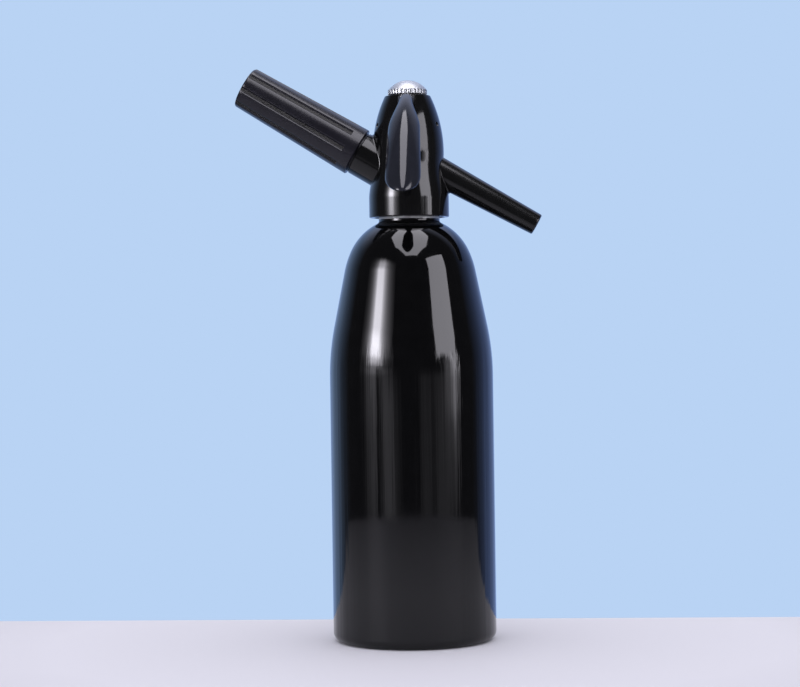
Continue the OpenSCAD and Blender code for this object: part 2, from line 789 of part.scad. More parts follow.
module socket_gasket() {
  color([0.15, 0.15, 0.15])
    on_arm(arm_seat) ring(arm_gasket_r, shank_r, arm_gasket_t);
}

module check_retainer() {
  color([0.75, 0.63, 0.32])
    on_arm(retainer_s) ring(check_bore_r, retainer_bore_r, boss_len - check_seat - retainer_s);
}

module check_valve() {
  bill_l = 5;
  bill_tip_r = 0.9;
  bill_root_r = 1.6;
  bore_tip_r = 0.4;
  bore_root_r = 1;
  slit_w = 0.2;
  slit_h = 1;
  tip_t = 1.2;
  bore_l = bill_l + check_flange_h - tip_t + eps;
  color([0.15, 0.15, 0.15])
    on_arm(boss_len - check_seat) difference() {
      union() {
        cylinder(r = check_bore_r, h = check_flange_h);
        translate([0, 0, -bill_l]) cylinder(r1 = bill_tip_r, r2 = bill_root_r, h = bill_l);
      }
      translate([0, 0, tip_t - bill_l]) cylinder(r1 = bore_tip_r, r2 = bore_root_r, h = bore_l);
      translate([-slit_w / 2, -slit_h / 2, -bill_l - over]) cube([slit_w, slit_h, 2 * over + tip_t]);
    }
}

module piercing_pin() {
  root_s = boss_len - check_end + eps;
  point_s = charger_s + 0.6;
  point_l = 2;
  point_r = 0.55;
  bore_r = 0.4;
  color([0.8, 0.8, 0.82])
    on_arm(root_s) difference() {
      union() {
        cylinder(r = pierce_r, h = point_s - root_s);
        translate([0, 0, point_s - root_s]) cylinder(r1 = pierce_r, r2 = point_r, h = point_l);
      }
      translate([0, 0, -over]) cylinder(r = bore_r, h = cut);
    }
}

module charger_seal() {
  color([0.15, 0.15, 0.15])
    on_arm(seal_s) ring(charger_neck_r + neck_clear - eps, pierce_r + run_clear, seal_t);
}

module charger_holder() {
  taper = atan((holder_collar_r - holder_end_r) / (holder_end - holder_s));
  slot_s = holder_s + holder_collar_l;
  floor_half = flute_w * flute_floor_share / 2;
  flank = flute_w / 2 - floor_half;
  rise = 3;
  color([0.05, 0.047, 0.045])
    on_arm(0) difference() {
      turned(concat(
        [[0, holder_s], [holder_collar_r - holder_chamfer, holder_s],
          [holder_collar_r, holder_s + holder_chamfer]],
        arc([holder_end_r - holder_round, holder_end - holder_round], holder_round, 0, 90, 4),
        [[0, holder_end]]));
      translate([0, 0, holder_s - over])
        cylinder(r = thread_bore_r, h = over + nipple_l + thread_runout);
      translate([0, 0, holder_s]) cylinder(r = holder_bore_r, h = holder_cavity_end - holder_s);
      for (i = [0 : flutes - 1])
        rotate([0, 0, flute_phase + 360 * i / flutes])
          translate([holder_collar_r - holder_collar_l * tan(taper) - flute_d, 0, slot_s])
            rotate([0, -taper, 0]) linear_extrude(height = cut)
              polygon([[0, -floor_half], [rise * flute_d, -floor_half - rise * flank],
                [rise * flute_d, floor_half + rise * flank], [0, floor_half]]);
    }
}

module charger() {
  neck_end = charger_s + charger_neck_l;
  dr = charger_r - charger_neck_r;
  base_c = [charger_r - charger_base_r, charger_end - charger_base_r];
  color([0.72, 0.73, 0.75])
    on_arm(0) difference() {
      turned(concat(
        [[0, charger_s], [charger_neck_r - charger_chamfer, charger_s],
          [charger_neck_r, charger_s + charger_chamfer]],
        [for (i = [0 : 8])
          [charger_neck_r + dr * ease(i / 8), neck_end + charger_shoulder_l * i / 8]],
        arc(base_c, charger_base_r, 0, 90, 6),
        [[0, charger_end]]));
      turned(concat(
        [[0, charger_s - over], [charger_hole_r, charger_s - over],
          [charger_hole_r, charger_s + charger_shell],
          [charger_neck_r - charger_shell, charger_s + charger_shell]],
        [for (i = [0 : 8])
          [charger_neck_r - charger_shell + dr * ease(i / 8), neck_end + charger_shoulder_l * i / 8]],
        arc(base_c, charger_base_r - charger_shell, 0, 90, 6),
        [[0, charger_end - charger_shell]]));
    }
}

bottle();
neck_gasket();
thread_ring();
head_shell();
valve_body();
seat_nut();
seat_gasket();
tube_bush();
dip_tube();
valve_stem();
valve_washer();
stem_o_ring();
lift_nut();
valve_spring();
valve_cap();
cap_o_ring();
lever();
hinge_pin();
spout();
spout_o_ring();
charger_socket();
socket_gasket();
check_retainer();
check_valve();
piercing_pin();
charger_seal();
charger_holder();
charger();
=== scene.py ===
import math

import bmesh
import bpy
import numpy as np
from mathutils import Matrix, Vector


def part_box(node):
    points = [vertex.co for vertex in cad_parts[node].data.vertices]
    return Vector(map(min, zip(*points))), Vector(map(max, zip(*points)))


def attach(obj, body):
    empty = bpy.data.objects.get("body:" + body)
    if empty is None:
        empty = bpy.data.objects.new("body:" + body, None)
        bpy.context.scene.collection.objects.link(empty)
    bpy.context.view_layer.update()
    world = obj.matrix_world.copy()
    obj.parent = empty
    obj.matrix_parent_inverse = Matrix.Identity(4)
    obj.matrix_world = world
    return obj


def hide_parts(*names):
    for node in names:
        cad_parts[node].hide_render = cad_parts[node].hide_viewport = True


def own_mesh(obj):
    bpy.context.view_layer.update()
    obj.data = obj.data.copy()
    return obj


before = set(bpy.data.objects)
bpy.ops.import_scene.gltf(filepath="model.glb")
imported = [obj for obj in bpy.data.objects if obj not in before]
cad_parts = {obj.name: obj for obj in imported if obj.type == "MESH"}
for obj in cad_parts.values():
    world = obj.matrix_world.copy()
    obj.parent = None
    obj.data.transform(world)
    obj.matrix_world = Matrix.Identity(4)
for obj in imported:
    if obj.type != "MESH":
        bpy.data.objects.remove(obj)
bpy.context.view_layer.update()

# Shapes below are written in millimetres and turned into metres when a mesh is made
MM = 0.001
TURN = 2 * math.pi


def corner(node, high):
    """Lowest or highest corner of a CAD node, in millimetres."""
    return np.array(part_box(node)[1 if high else 0]) / MM


# Sizes taken from the frame
BODY_R = corner("bottle", True)[0]
MOUTH_Z = corner("bottle", True)[2]
HEAD_TOP_Z = corner("head_shell", True)[2]
RIM_Z = corner("head_shell", False)[2]
FLANGE_Z = corner("valve_body", False)[2]
FLANGE_T = 3.0
FLANGE_TOP_Z = FLANGE_Z + FLANGE_T
SEAT_LIP = 1.0
SEAT_Z = corner("valve_washer", False)[2] - SEAT_LIP
CAP_TOP_Z = corner("valve_cap", True)[2]
CAP_R = corner("valve_cap", True)[1]
PLUG_Z = corner("valve_cap", False)[2]
HINGE_Z = (corner("hinge_pin", True)[2] + corner("hinge_pin", False)[2]) / 2
HINGE_Y = (corner("hinge_pin", True)[1] + corner("hinge_pin", False)[1]) / 2
HINGE_PIN_R = (corner("hinge_pin", True)[2] - corner("hinge_pin", False)[2]) / 2
SPRING_LOW_Z = corner("valve_spring", False)[2]
SPRING_TOP_Z = corner("valve_spring", True)[2]

# Bottle
SHOULDER_Z = 231.0
WALL = 1.5
FLOOR_T = 2.0
BASE_CORNER_R = 5.0
CONE_ANGLE = 11.4
BLEND_R = 140.0
SHOULDER_LOW_R = 50.0
SHOULDER_MID_ANGLE = 25.0
SHOULDER_HIGH_R = 31.5
SHOULDER_END_ANGLE = 64.0
NECK_FILLET_R = 1.5
NECK_R = 16.8
THREAD_ROOT_R = 16.0
NECK_BORE_R = 13.5
NECK_PITCH = 3.5
NECK_TURNS = 2.5
THREAD_START = 3.2
NECK_STEP_LOW = 0.2
NECK_STEP_HIGH = 1.0
MOUTH_CHAMFER = 0.4
BORE_CHAMFER = 0.5
ENAMEL_TOP_Z = SHOULDER_Z + 0.85

# Head
HEAD_R = 22.0
HEAD_CYL_H = 10.2
WAIST_H = 29.6
WAIST_R = 19.35
BULGE_H = 35.7
BULGE_R = 19.6
EGG_R = 72.0
SHELL_WALL = 2.4
RING_R = 19.25
RIM_ROUND = 0.6
CROWN_ROUND = 0.5
CROWN_HOLE_R = 10.6
CROWN_T = 3.0
SLOT_HALF = 4.65
SLOT_LOW_Z = 278.0

# Charger arm
ARM_ANGLE = 31.0
ARM_Z = FLANGE_Z + 1.4
BOSS_R = 12.2
BOSS_LEN = 31.8
BOSS_ROOT = 12.0
BOSS_BORE_R = 9.1
BOSS_CHAMFER = 0.4
BOSS_FILLET = 0.9
HOLDER_START = 32.8
HOLDER_END = 105.0
HOLDER_COLLAR_R = 13.55
HOLDER_END_R = 11.8
HOLDER_COLLAR_L = 6.5
HOLDER_ROUND = 1.2
HOLDER_CHAMFER = 0.4
HOLDER_BORE_R = 9.4
HOLDER_THREAD_R = 10.15
HOLDER_THREAD_L = 12.5
HOLDER_END_T = 4.9
HOLDER_MOUTH_CHAMFER = 0.5
FLUTES = 8
FLUTE_W = 3.4
FLUTE_FLOOR_W = 1.7
FLUTE_D = 1.0
FLUTE_ROUND = 0.12
FLUTE_PHASE = -100.6

# Spout
SPOUT_ANGLE = 29.5
SPOUT_Z = SEAT_Z + 11.4
SPOUT_LEN = 80.7
SPOUT_SEAT = 14.5
SPOUT_ROOT_R = 8.05
SPOUT_TIP_R = 5.97
SPOUT_CHAMFER = 0.8
SPOUT_FILLET = 0.45
SPIGOT_R = 4.3
SPIGOT_END = 9.0
SPOUT_BORE_R = 2.5
OUTLET_R = 4.2
OUTLET_L = 12.0
OUTLET_CHAMFER = 0.3
SPOUT_GAP = 0.05

# Lever
RIDGE_Y = 13.4
RIDGE_Z = HEAD_TOP_Z + 0.2
LEVER_REACH = 63.0
LEVER_DROP = 55.6
LEVER_ROOT_ANGLE = 22.0
LEVER_TIP_ANGLE = 67.0
LEVER_W = 18.9
LEVER_MID_W = 16.4
RIDGE_SLOPE = 0.7
RIDGE_ROUND = 3.9
EDGE_ROUND = 2.2
EDGE_POWER = 4
LEVER_ROOT_W = 8.6
LEVER_T = 8.5
LEVER_ROOT_T = 7.0
LEVER_TIP_L = 10.5
FLARE_START = 7.0
FLARE_LEN = 26.0
SPREAD_START = 24.0
SPREAD_LEN = 40.0
EDGE_SHARE = 0.8
TIP_SINK = 0.05
HUB_R = 2.9
PRONG_R = 1.3
STEM_R = 2.5
PASS_GAP = 0.3

# Valve cap
CAP_SKIRT_H = 2.8
CAP_DOME_H = 5.2
CAP_Z = CAP_TOP_Z - CAP_SKIRT_H - CAP_DOME_H
CAP_NOTCHES = 28
CAP_NOTCH_D = 0.7
CAP_NOTCH_SHARE = 0.3
CAP_RIB_ROUND = 0.35
CAP_CHAMFER = 0.3
PLUG_R = 8.4
PLUG_CHAMFER = 0.5
POCKET_R = 5.2

# Valve spring
SPRING_R = 3.6
SPRING_WIRE = 1.2
SPRING_TURNS = 5


# Small maths

def ease(t):
    """Smooth step from 0 to 1."""
    t = np.clip(t, 0.0, 1.0)
    return (1 - np.cos(np.pi * t)) / 2


def direction(degrees):
    """Unit vector in a profile plane."""
    a = math.radians(degrees)
    return np.array([math.cos(a), math.sin(a)])


def arc(centre, radius, start, end, steps):
    """Points of an arc, angles in degrees."""
    return [np.asarray(centre) + radius * direction(a) for a in np.linspace(start, end, steps + 1)]


def unit(vectors):
    """Vectors scaled to length one."""
    vectors = np.asarray(vectors, float)
    return vectors / np.linalg.norm(vectors, axis=-1, keepdims=True)


def circle(steps):
    """Angles round a full turn."""
    return np.arange(steps) * TURN / steps


# Mesh building

def ring_faces(rings, closed):
    """Faces between rings of points that follow each other; a ring of one point is a pole."""
    starts = np.cumsum([0] + [len(r) for r in rings])
    pairs = [(i, i + 1) for i in range(len(rings) - 1)]
    if closed:
        pairs.append((len(rings) - 1, 0))
    faces = []
    for i, j in pairs:
        a, b = starts[i], starts[j]
        n = max(len(rings[i]), len(rings[j]))
        for k in range(n):
            k2 = (k + 1) % n
            if len(rings[i]) == 1:
                faces.append((a, b + k2, b + k))
            elif len(rings[j]) == 1:
                faces.append((a + k, a + k2, b))
            else:
                faces.append((a + k, a + k2, b + k2, b + k))
    return faces


def make_object(name, points, faces, sharp=32.0):
    """Mesh object from points in millimetres, with outward normals and sharp creases."""
    mesh = bpy.data.meshes.new(name)
    mesh.from_pydata([tuple(p) for p in np.asarray(points) * MM], [], [tuple(f) for f in faces])
    bm = bmesh.new()
    bm.from_mesh(mesh)
    bmesh.ops.recalc_face_normals(bm, faces=bm.faces)
    bm.to_mesh(mesh)
    bm.free()
    mesh.polygons.foreach_set("use_smooth", [True] * len(mesh.polygons))
    mesh.set_sharp_from_angle(angle=math.radians(sharp))
    obj = bpy.data.objects.new(name, mesh)
    bpy.context.scene.collection.objects.link(obj)
    return obj


def ring_object(name, rings, closed=False, sharp=32.0):
    """Mesh object from rings of points."""
    return make_object(name, np.vstack(rings), ring_faces(rings, closed), sharp)


def capped(rings):
    """Rings with a middle point added at each end."""
    return [rings[0].mean(axis=0, keepdims=True)] + rings + [rings[-1].mean(axis=0, keepdims=True)]


def turned_rings(profile, steps):
    """Rings of a turned body about Z from a profile of (radius, height)."""
    a = circle(steps)
    rings = []
    for r, z in profile:
        if r < 1e-6:
            rings.append(np.array([[0.0, 0.0, z]]))
        else:
            rings.append(np.stack([r * np.cos(a), r * np.sin(a), np.full(steps, z)], axis=1))
    return rings


def join(name, *objs):
    """Joins objects into the first one."""
    bpy.ops.object.select_all(action="DESELECT")
    for o in objs:
        o.select_set(True)
    bpy.context.view_layer.objects.active = objs[0]
    bpy.ops.object.join()
    objs[0].name = name
    objs[0].data.name = name
    return objs[0]


def cut(obj, tool, operation="DIFFERENCE"):
    """Applies an exact boolean with a tool object, then removes the tool."""
    modifier = obj.modifiers.new("cut", "BOOLEAN")
    modifier.operation = operation
    modifier.solver = "EXACT"
    modifier.object = tool
    bpy.context.view_layer.update()
    done = bpy.data.meshes.new_from_object(obj.evaluated_get(bpy.context.evaluated_depsgraph_get()))
    obj.modifiers.remove(modifier)
    obj.data = done
    bpy.data.objects.remove(tool)
    return obj


def block(name, low, high):
    """Box between two corners, used as a cutter."""
    corners = [[x, y, z] for z in (low[2], high[2]) for x, y in
               ((low[0], low[1]), (high[0], low[1]), (high[0], high[1]), (low[0], high[1]))]
    faces = [(3, 2, 1, 0), (4, 5, 6, 7), (0, 1, 5, 4), (1, 2, 6, 5), (2, 3, 7, 6), (3, 0, 4, 7)]
    return make_object(name, corners, faces)


# Placing on the charger arm and the spout

class Branch:
    """A straight branch of the head: its start on the bottle axis, its direction and cross axes."""

    def __init__(self, height, along):
        self.start = np.array([0.0, 0.0, height])
        self.along = np.array(along)
        self.side = np.array([0.0, 1.0, 0.0])
        self.up = np.cross(self.side, self.along)

    def place(self, local):
        """Points given as (up, side, along) in the row frame."""
        local = np.asarray(local, float)
        return (self.start + local[..., :1] * self.up + local[..., 1:2] * self.side
                + local[..., 2:3] * self.along)

    def rings(self, profile, steps):
        """Rings of a turned body on this branch."""
        return [self.place(ring) for ring in turned_rings(profile, steps)]


arm_slope = math.radians(ARM_ANGLE)
spout_slope = math.radians(SPOUT_ANGLE)
ARM = Branch(ARM_Z, (-math.cos(arm_slope), 0.0, math.sin(arm_slope)))
SPOUT = Branch(SPOUT_Z, (math.cos(spout_slope), 0.0, -math.sin(spout_slope)))


# Outline of the head

def head_radius(z):
    """Outside radius of the head at a height."""
    h = np.asarray(z, float) - RIM_Z
    to_waist = HEAD_R + (WAIST_R - HEAD_R) * ease((h - HEAD_CYL_H) / (WAIST_H - HEAD_CYL_H))
    to_bulge = WAIST_R + (BULGE_R - WAIST_R) * ease((h - WAIST_H) / (BULGE_H - WAIST_H))
    egg = BULGE_R - EGG_R + np.sqrt(np.maximum(EGG_R ** 2 - (h - BULGE_H) ** 2, 0.0))
    return np.where(h < WAIST_H, to_waist, np.where(h < BULGE_H, to_bulge, egg))


def head_slope(z):
    """Change of the head's radius with height."""
    step = 0.02
    return (head_radius(np.asarray(z) + step) - head_radius(np.asarray(z) - step)) / (2 * step)


def head_normal(points):
    """Outward normals of the head's outline at points on it."""
    r = np.hypot(points[:, 0], points[:, 1])
    return unit(np.stack([points[:, 0] / r, points[:, 1] / r, -head_slope(points[:, 2])], axis=1))


def head_gap(points):
    """Distance of points outside the head's surface, first order."""
    r = np.hypot(points[:, 0], points[:, 1])
    return (r - head_radius(points[:, 2])) / np.sqrt(1 + head_slope(points[:, 2]) ** 2)


def meet_head(branch, up, side, clear):
    """Distances along a branch at which lines parallel to it come within a clearance of the head."""
    near, far = np.full(len(up), 10.0), np.full(len(up), 45.0)
    for _ in range(50):
        mid = (near + far) / 2
        outside = head_gap(branch.place(np.stack([up, side, mid], axis=1))) > clear
        far, near = np.where(outside, mid, far), np.where(outside, near, mid)
    return far


def fillet_rings(branch, radius_at, ball, steps=192, across=10, sunk=0.25):
    """Closed rolling-ball fillet between a round branch and the head."""
    a = circle(steps)
    cu, cs = np.cos(a), np.sin(a)
    reach = radius_at + ball
    along = meet_head(branch, reach * cu, reach * cs, ball)
    centre = branch.place(np.stack([reach * cu, reach * cs, along], axis=1))
    out = cu[:, None] * branch.up + cs[:, None] * branch.side
    foot = centre - head_gap(centre)[:, None] * head_normal(centre)
    start, end = -out, unit(foot - centre)
    angle = np.arccos(np.clip((start * end).sum(axis=1), -1, 1))[:, None]
    rings = []
    for t in np.linspace(0, 1, across + 1):
        turn = (np.sin((1 - t) * angle) * start + np.sin(t * angle) * end) / np.sin(angle)
        rings.append(centre + ball * turn)
    rings.append(rings[-1] - sunk * head_normal(rings[-1]))
    rings.append((rings[0] + rings[-2]) / 2 - sunk * 2 * (out + head_normal(foot)) / 2)
    rings.append(rings[0] - sunk * out)
    return rings


# Bottle

def bottle_outline():
    """Outside profile from the neck's foot to the middle of the base, and the inside profile back up."""
    end = direction(SHOULDER_END_ANGLE)
    shoulder = np.array([NECK_R + NECK_FILLET_R, SHOULDER_Z]) - NECK_FILLET_R * end
    high_c = shoulder - SHOULDER_HIGH_R * end
    mid = direction(SHOULDER_MID_ANGLE)
    low_c = high_c + (SHOULDER_HIGH_R - SHOULDER_LOW_R) * mid
    cone = math.radians(CONE_ANGLE)
    cone_top = low_c + SHOULDER_LOW_R * direction(CONE_ANGLE)
    cone_low_r = BODY_R - BLEND_R * (1 - math.cos(cone))
    cone_low_z = cone_top[1] - (cone_low_r - cone_top[0]) / math.tan(cone)
    blend_c = np.array([BODY_R - BLEND_R, cone_low_z - BLEND_R * math.sin(cone)])

    def side(inset, fine):
        return (arc(high_c, SHOULDER_HIGH_R - inset, SHOULDER_END_ANGLE, SHOULDER_MID_ANGLE, 4 * fine)
                + arc(low_c, SHOULDER_LOW_R - inset, SHOULDER_MID_ANGLE, CONE_ANGLE, 3 * fine)[1:]
                + arc(blend_c, BLEND_R - inset, CONE_ANGLE, 0, 4 * fine))

    foot = np.array([NECK_R + NECK_FILLET_R, SHOULDER_Z])
    base_c = np.array([BODY_R - BASE_CORNER_R, BASE_CORNER_R])
    outside = (arc(foot, NECK_FILLET_R, 180, 180 + SHOULDER_END_ANGLE, 8)[:-1] + side(0.0, 10)
               + arc(base_c, BASE_CORNER_R, 0, -90, 14) + [np.array([0.0, 0.0])])
    inner_base = np.array([BODY_R - BASE_CORNER_R, FLOOR_T + BASE_CORNER_R - WALL])
    inside = ([np.array([0.0, FLOOR_T])] + arc(inner_base, BASE_CORNER_R - WALL, -90, 0, 6)
              + side(WALL, 4)[::-1])
    inner_top = inside[-1]
    slope = math.tan(math.radians(SHOULDER_END_ANGLE))
    inner_neck_z = inner_top[1] + (inner_top[0] - NECK_BORE_R) / slope
    mouth = [np.array([NECK_BORE_R, inner_neck_z]), np.array([NECK_BORE_R, MOUTH_Z - BORE_CHAMFER]),
             np.array([NECK_BORE_R + BORE_CHAMFER, MOUTH_Z])]
    return outside, inside + mouth


def thread_height(angle, z):
    """Height of the neck's thread ridge above its root."""
    root_half, crest_half = NECK_PITCH * 0.3, NECK_PITCH * 0.125
    turns = np.arange(-1, NECK_TURNS + 2)[:, None] + angle[None, :] / TURN
    offset = np.abs(z - (RIM_Z + THREAD_START) - turns * NECK_PITCH)
    flank = np.clip((root_half - offset) / (root_half - crest_half), 0, 1)
    run_out = np.clip(np.minimum(turns, NECK_TURNS - turns) * 4, 0, 1)
    return (NECK_R - THREAD_ROOT_R) * (flank * run_out).max(axis=0)


def build_bottle(steps=256):
    outside, inside = bottle_outline()
    a = circle(steps)
    neck = []
    for z in np.arange(MOUTH_Z - MOUTH_CHAMFER, RIM_Z + NECK_STEP_HIGH, -0.16):
        r = THREAD_ROOT_R + thread_height(a, z)
        neck.append(np.stack([r * np.cos(a), r * np.sin(a), np.full(steps, z)], axis=1))
    top = turned_rings([(THREAD_ROOT_R - MOUTH_CHAMFER, MOUTH_Z)], steps)
    step = turned_rings([(THREAD_ROOT_R, RIM_Z + NECK_STEP_HIGH), (NECK_R, RIM_Z + NECK_STEP_LOW),
                         (NECK_R, ENAMEL_TOP_Z)], steps)
    body = turned_rings(outside, steps)
    rings = top + neck + step + body + turned_rings(inside, steps)
    obj = ring_object("bottle_shell", rings, closed=True)
    enamel_start = len(np.vstack(top + neck + step)) - steps
    enamel_end = enamel_start + steps + len(np.vstack(body))
    painted = [int(all(enamel_start <= v < enamel_end for v in p.vertices)) for p in obj.data.polygons]
    obj.data.materials.append(MATERIALS["bare_metal"])
    obj.data.materials.append(MATERIALS["enamel"])
    obj.data.polygons.foreach_set("material_index", painted)
    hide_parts("bottle")
    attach(obj, "bottle")


# Head shell

def head_profile():
    """Closed profile of the head's shell, outside up and inside down."""
    rise = HEAD_TOP_Z - CROWN_ROUND
    outer = [np.array([head_radius(z), z]) for z in
             np.concatenate([[RIM_Z + RIM_ROUND, RIM_Z + HEAD_CYL_H - 0.02],
                             np.linspace(RIM_Z + HEAD_CYL_H, rise, 100)])]
    lean = math.degrees(math.atan(-head_slope(rise)))
    crown_c = outer[-1] - CROWN_ROUND * direction(lean)
    crown = arc(crown_c, CROWN_ROUND, lean, 90, 6)[1:]
    crown = [np.array([p[0], min(p[1], HEAD_TOP_Z)]) for p in crown]
    rim_c = np.array([HEAD_R - RIM_ROUND, RIM_Z + RIM_ROUND])
    rim = arc(rim_c, RIM_ROUND, -90, 0, 6)[:-1]
    inner_z = np.linspace(HEAD_TOP_Z - CROWN_T, FLANGE_TOP_Z, 40)
    inner = [np.array([CROWN_HOLE_R, HEAD_TOP_Z - 0.01]), np.array([CROWN_HOLE_R, HEAD_TOP_Z - CROWN_T])]
    inner += [np.array([max(head_radius(z) - SHELL_WALL, CROWN_HOLE_R + 0.01), z]) for z in inner_z]
    inner += [np.array([RING_R, FLANGE_TOP_Z - 0.01]), np.array([RING_R, RIM_Z])]
    return rim + outer + crown + inner


def head_normals(obj):
    """Gives the cut mesh the exact normals of the head's outline and of the boss."""
    mesh = obj.data
    co = np.zeros(len(mesh.vertices) * 3)
    mesh.vertices.foreach_get("co", co)
    co = co.reshape(-1, 3) / MM
    on_head = (np.abs(head_gap(co)) < 0.004) & (co[:, 2] > RIM_Z + RIM_ROUND - 0.01)
    on_head &= co[:, 2] < HEAD_TOP_Z - CROWN_ROUND + 0.01
    rel = co - ARM.start
    along = rel @ ARM.along
    radial = rel - along[:, None] * ARM.along
    on_boss = (np.abs(np.linalg.norm(radial, axis=1) - BOSS_R) < 0.004) & (along > BOSS_ROOT)
    outline, round_boss = head_normal(co), unit(radial)
    normals = np.zeros((len(mesh.loops), 3))
    for p in mesh.polygons:
        ids = list(p.vertices)
        face = np.array(p.normal)
        for exact, on in ((outline, on_head), (round_boss, on_boss)):
            if on[ids].all() and (exact[ids] @ face).min() > 0.7:
                normals[list(p.loop_indices)] = exact[ids]
    mesh.polygons.foreach_set("use_smooth", [True] * len(mesh.polygons))
    mesh.set_sharp_from_angle(angle=math.radians(30))
    mesh.normals_split_custom_set(normals.tolist())


def build_head(steps=240):
    shell = ring_object("head_shell_form", turned_rings(head_profile(), steps), closed=True)
    boss_profile = [(0.0, BOSS_ROOT), (BOSS_R, BOSS_ROOT), (BOSS_R, BOSS_LEN - BOSS_CHAMFER),
                    (BOSS_R - BOSS_CHAMFER, BOSS_LEN), (0.0, BOSS_LEN)]
    cut(shell, ring_object("boss", ARM.rings(boss_profile, 160)), "UNION")
    reach = 60.0
    inside = [(0.0, RIM_Z - 1), (RING_R, RIM_Z - 1), (RING_R, FLANGE_TOP_Z)]
    for z in np.linspace(FLANGE_TOP_Z, HEAD_TOP_Z - CROWN_T, 40):
        inside.append((head_radius(z) - SHELL_WALL, z))
    inside += [(CROWN_HOLE_R, HEAD_TOP_Z - CROWN_T), (CROWN_HOLE_R, HEAD_TOP_Z + 1), (0.0, HEAD_TOP_Z + 1)]
    cut(shell, ring_object("hollow", turned_rings(inside, steps)))
    cut(shell, ring_object("boss_bore", ARM.rings(
        [(0.0, 10.0), (BOSS_BORE_R, 10.0), (BOSS_BORE_R, reach), (0.0, reach)], 96)))
    cut(shell, ring_object("spigot_hole", SPOUT.rings(
        [(0.0, 12.0), (SPIGOT_R, 12.0), (SPIGOT_R, reach), (0.0, reach)], 64)))
    cut(shell, block("slot", (-SLOT_HALF, -reach, SLOT_LOW_Z), (SLOT_HALF, 0.0, HEAD_TOP_Z + 5)))
    pin = Branch(HINGE_Z, (1.0, 0.0, 0.0))
    pin.start = np.array([0.0, HINGE_Y, HINGE_Z])
    cut(shell, ring_object("pin_hole", pin.rings(
        [(0.0, -reach), (HINGE_PIN_R, -reach), (HINGE_PIN_R, reach), (0.0, reach)], 48)))
    head_normals(shell)
    arm_fillet = ring_object("boss_fillet", fillet_rings(ARM, BOSS_R, BOSS_FILLET), closed=True, sharp=60)
    shell.data.materials.append(MATERIALS["gloss_moulding"])
    arm_fillet.data.materials.append(MATERIALS["gloss_moulding"])
    for obj, name in ((shell, "head_moulding"), (arm_fillet, "boss_fillet")):
        obj.name = name
        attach(obj, "head")
    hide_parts("head_shell")


# Spout

def spout_radius(t):
    """Outside radius of the spout at a distance along it."""
    share = (t - SPOUT_SEAT) / (SPOUT_LEN - SPOUT_CHAMFER - SPOUT_SEAT)
    return SPOUT_ROOT_R + (SPOUT_TIP_R - SPOUT_ROOT_R) * share


def build_spout(steps=128):
    a = circle(steps)
    cu, cs = np.cos(a), np.sin(a)

    def ring(radius, along):
        radius, along = np.broadcast_to(radius, steps), np.broadcast_to(along, steps)
        return SPOUT.place(np.stack([radius * cu, radius * cs, along], axis=1))

    root = np.full(steps, 20.0)
    for _ in range(6):
        root = meet_head(SPOUT, spout_radius(root) * cu, spout_radius(root) * cs, SPOUT_GAP)
    tip = SPOUT_LEN - SPOUT_CHAMFER
    rings = [ring(SPIGOT_R, SPIGOT_END)]
    for share in np.linspace(0, 1, 6):
        r = SPIGOT_R + (spout_radius(root) - SPIGOT_R) * share
        rings.append(ring(r, meet_head(SPOUT, r * cu, r * cs, SPOUT_GAP)))
    for share in np.linspace(0, 1, 40)[1:]:
        t = root + (tip - root) * share
        rings.append(ring(spout_radius(t), t))
    for p in arc((SPOUT_TIP_R - SPOUT_CHAMFER, tip), SPOUT_CHAMFER, 0, 90, 6)[1:]:
        rings.append(ring(p[0], p[1]))
    rings += [ring(OUTLET_R + OUTLET_CHAMFER, SPOUT_LEN), ring(OUTLET_R, SPOUT_LEN - OUTLET_CHAMFER),
              ring(OUTLET_R, SPOUT_LEN - OUTLET_L), ring(SPOUT_BORE_R, SPOUT_LEN - OUTLET_L),
              ring(SPOUT_BORE_R, SPIGOT_END)]
    tube = ring_object("spout_tube", rings, closed=True)
    root_r = float(np.mean(spout_radius(root)))
    corner_rings = fillet_rings(SPOUT, root_r, SPOUT_FILLET, steps, 6, 0.12)
    fillet = ring_object("spout_fillet", corner_rings, closed=True, sharp=60)
    for obj in (tube, fillet):
        obj.data.materials.append(MATERIALS["spout_moulding"])
        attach(obj, "head")
    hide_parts("spout")


# Lever

class Ridge:
    """Ridge of the lever, a curve of forward distance and height from its root to its tip."""

    def __init__(self):
        self.start = np.array([RIDGE_Y, RIDGE_Z])
        chord = np.array([LEVER_REACH - RIDGE_Y, -LEVER_DROP])
        out = direction(-LEVER_ROOT_ANGLE)
        down = direction(-LEVER_TIP_ANGLE)
        self.first, self.last = np.linalg.solve(np.stack([out, down], axis=1), chord)
        self.length = (2 * np.hypot(*chord) + self.first + self.last) / 3
        self.first, self.last = self.first * out, self.last * down

    def at(self, s):
        """Point and outward normal at a distance along the ridge."""
        t = s / self.length
        way = unit((1 - t) * self.first + t * self.last)
        return self.start + (2 * t - t * t) * self.first + t * t * self.last, np.array([-way[1], way[0]])


RIDGE = Ridge()


def roof(x):
    """Depth of the lever's top below its ridge: a rounded crest between two slopes."""
    return RIDGE_SLOPE * RIDGE_ROUND * (np.sqrt(1 + (x / RIDGE_ROUND) ** 2) - 1)


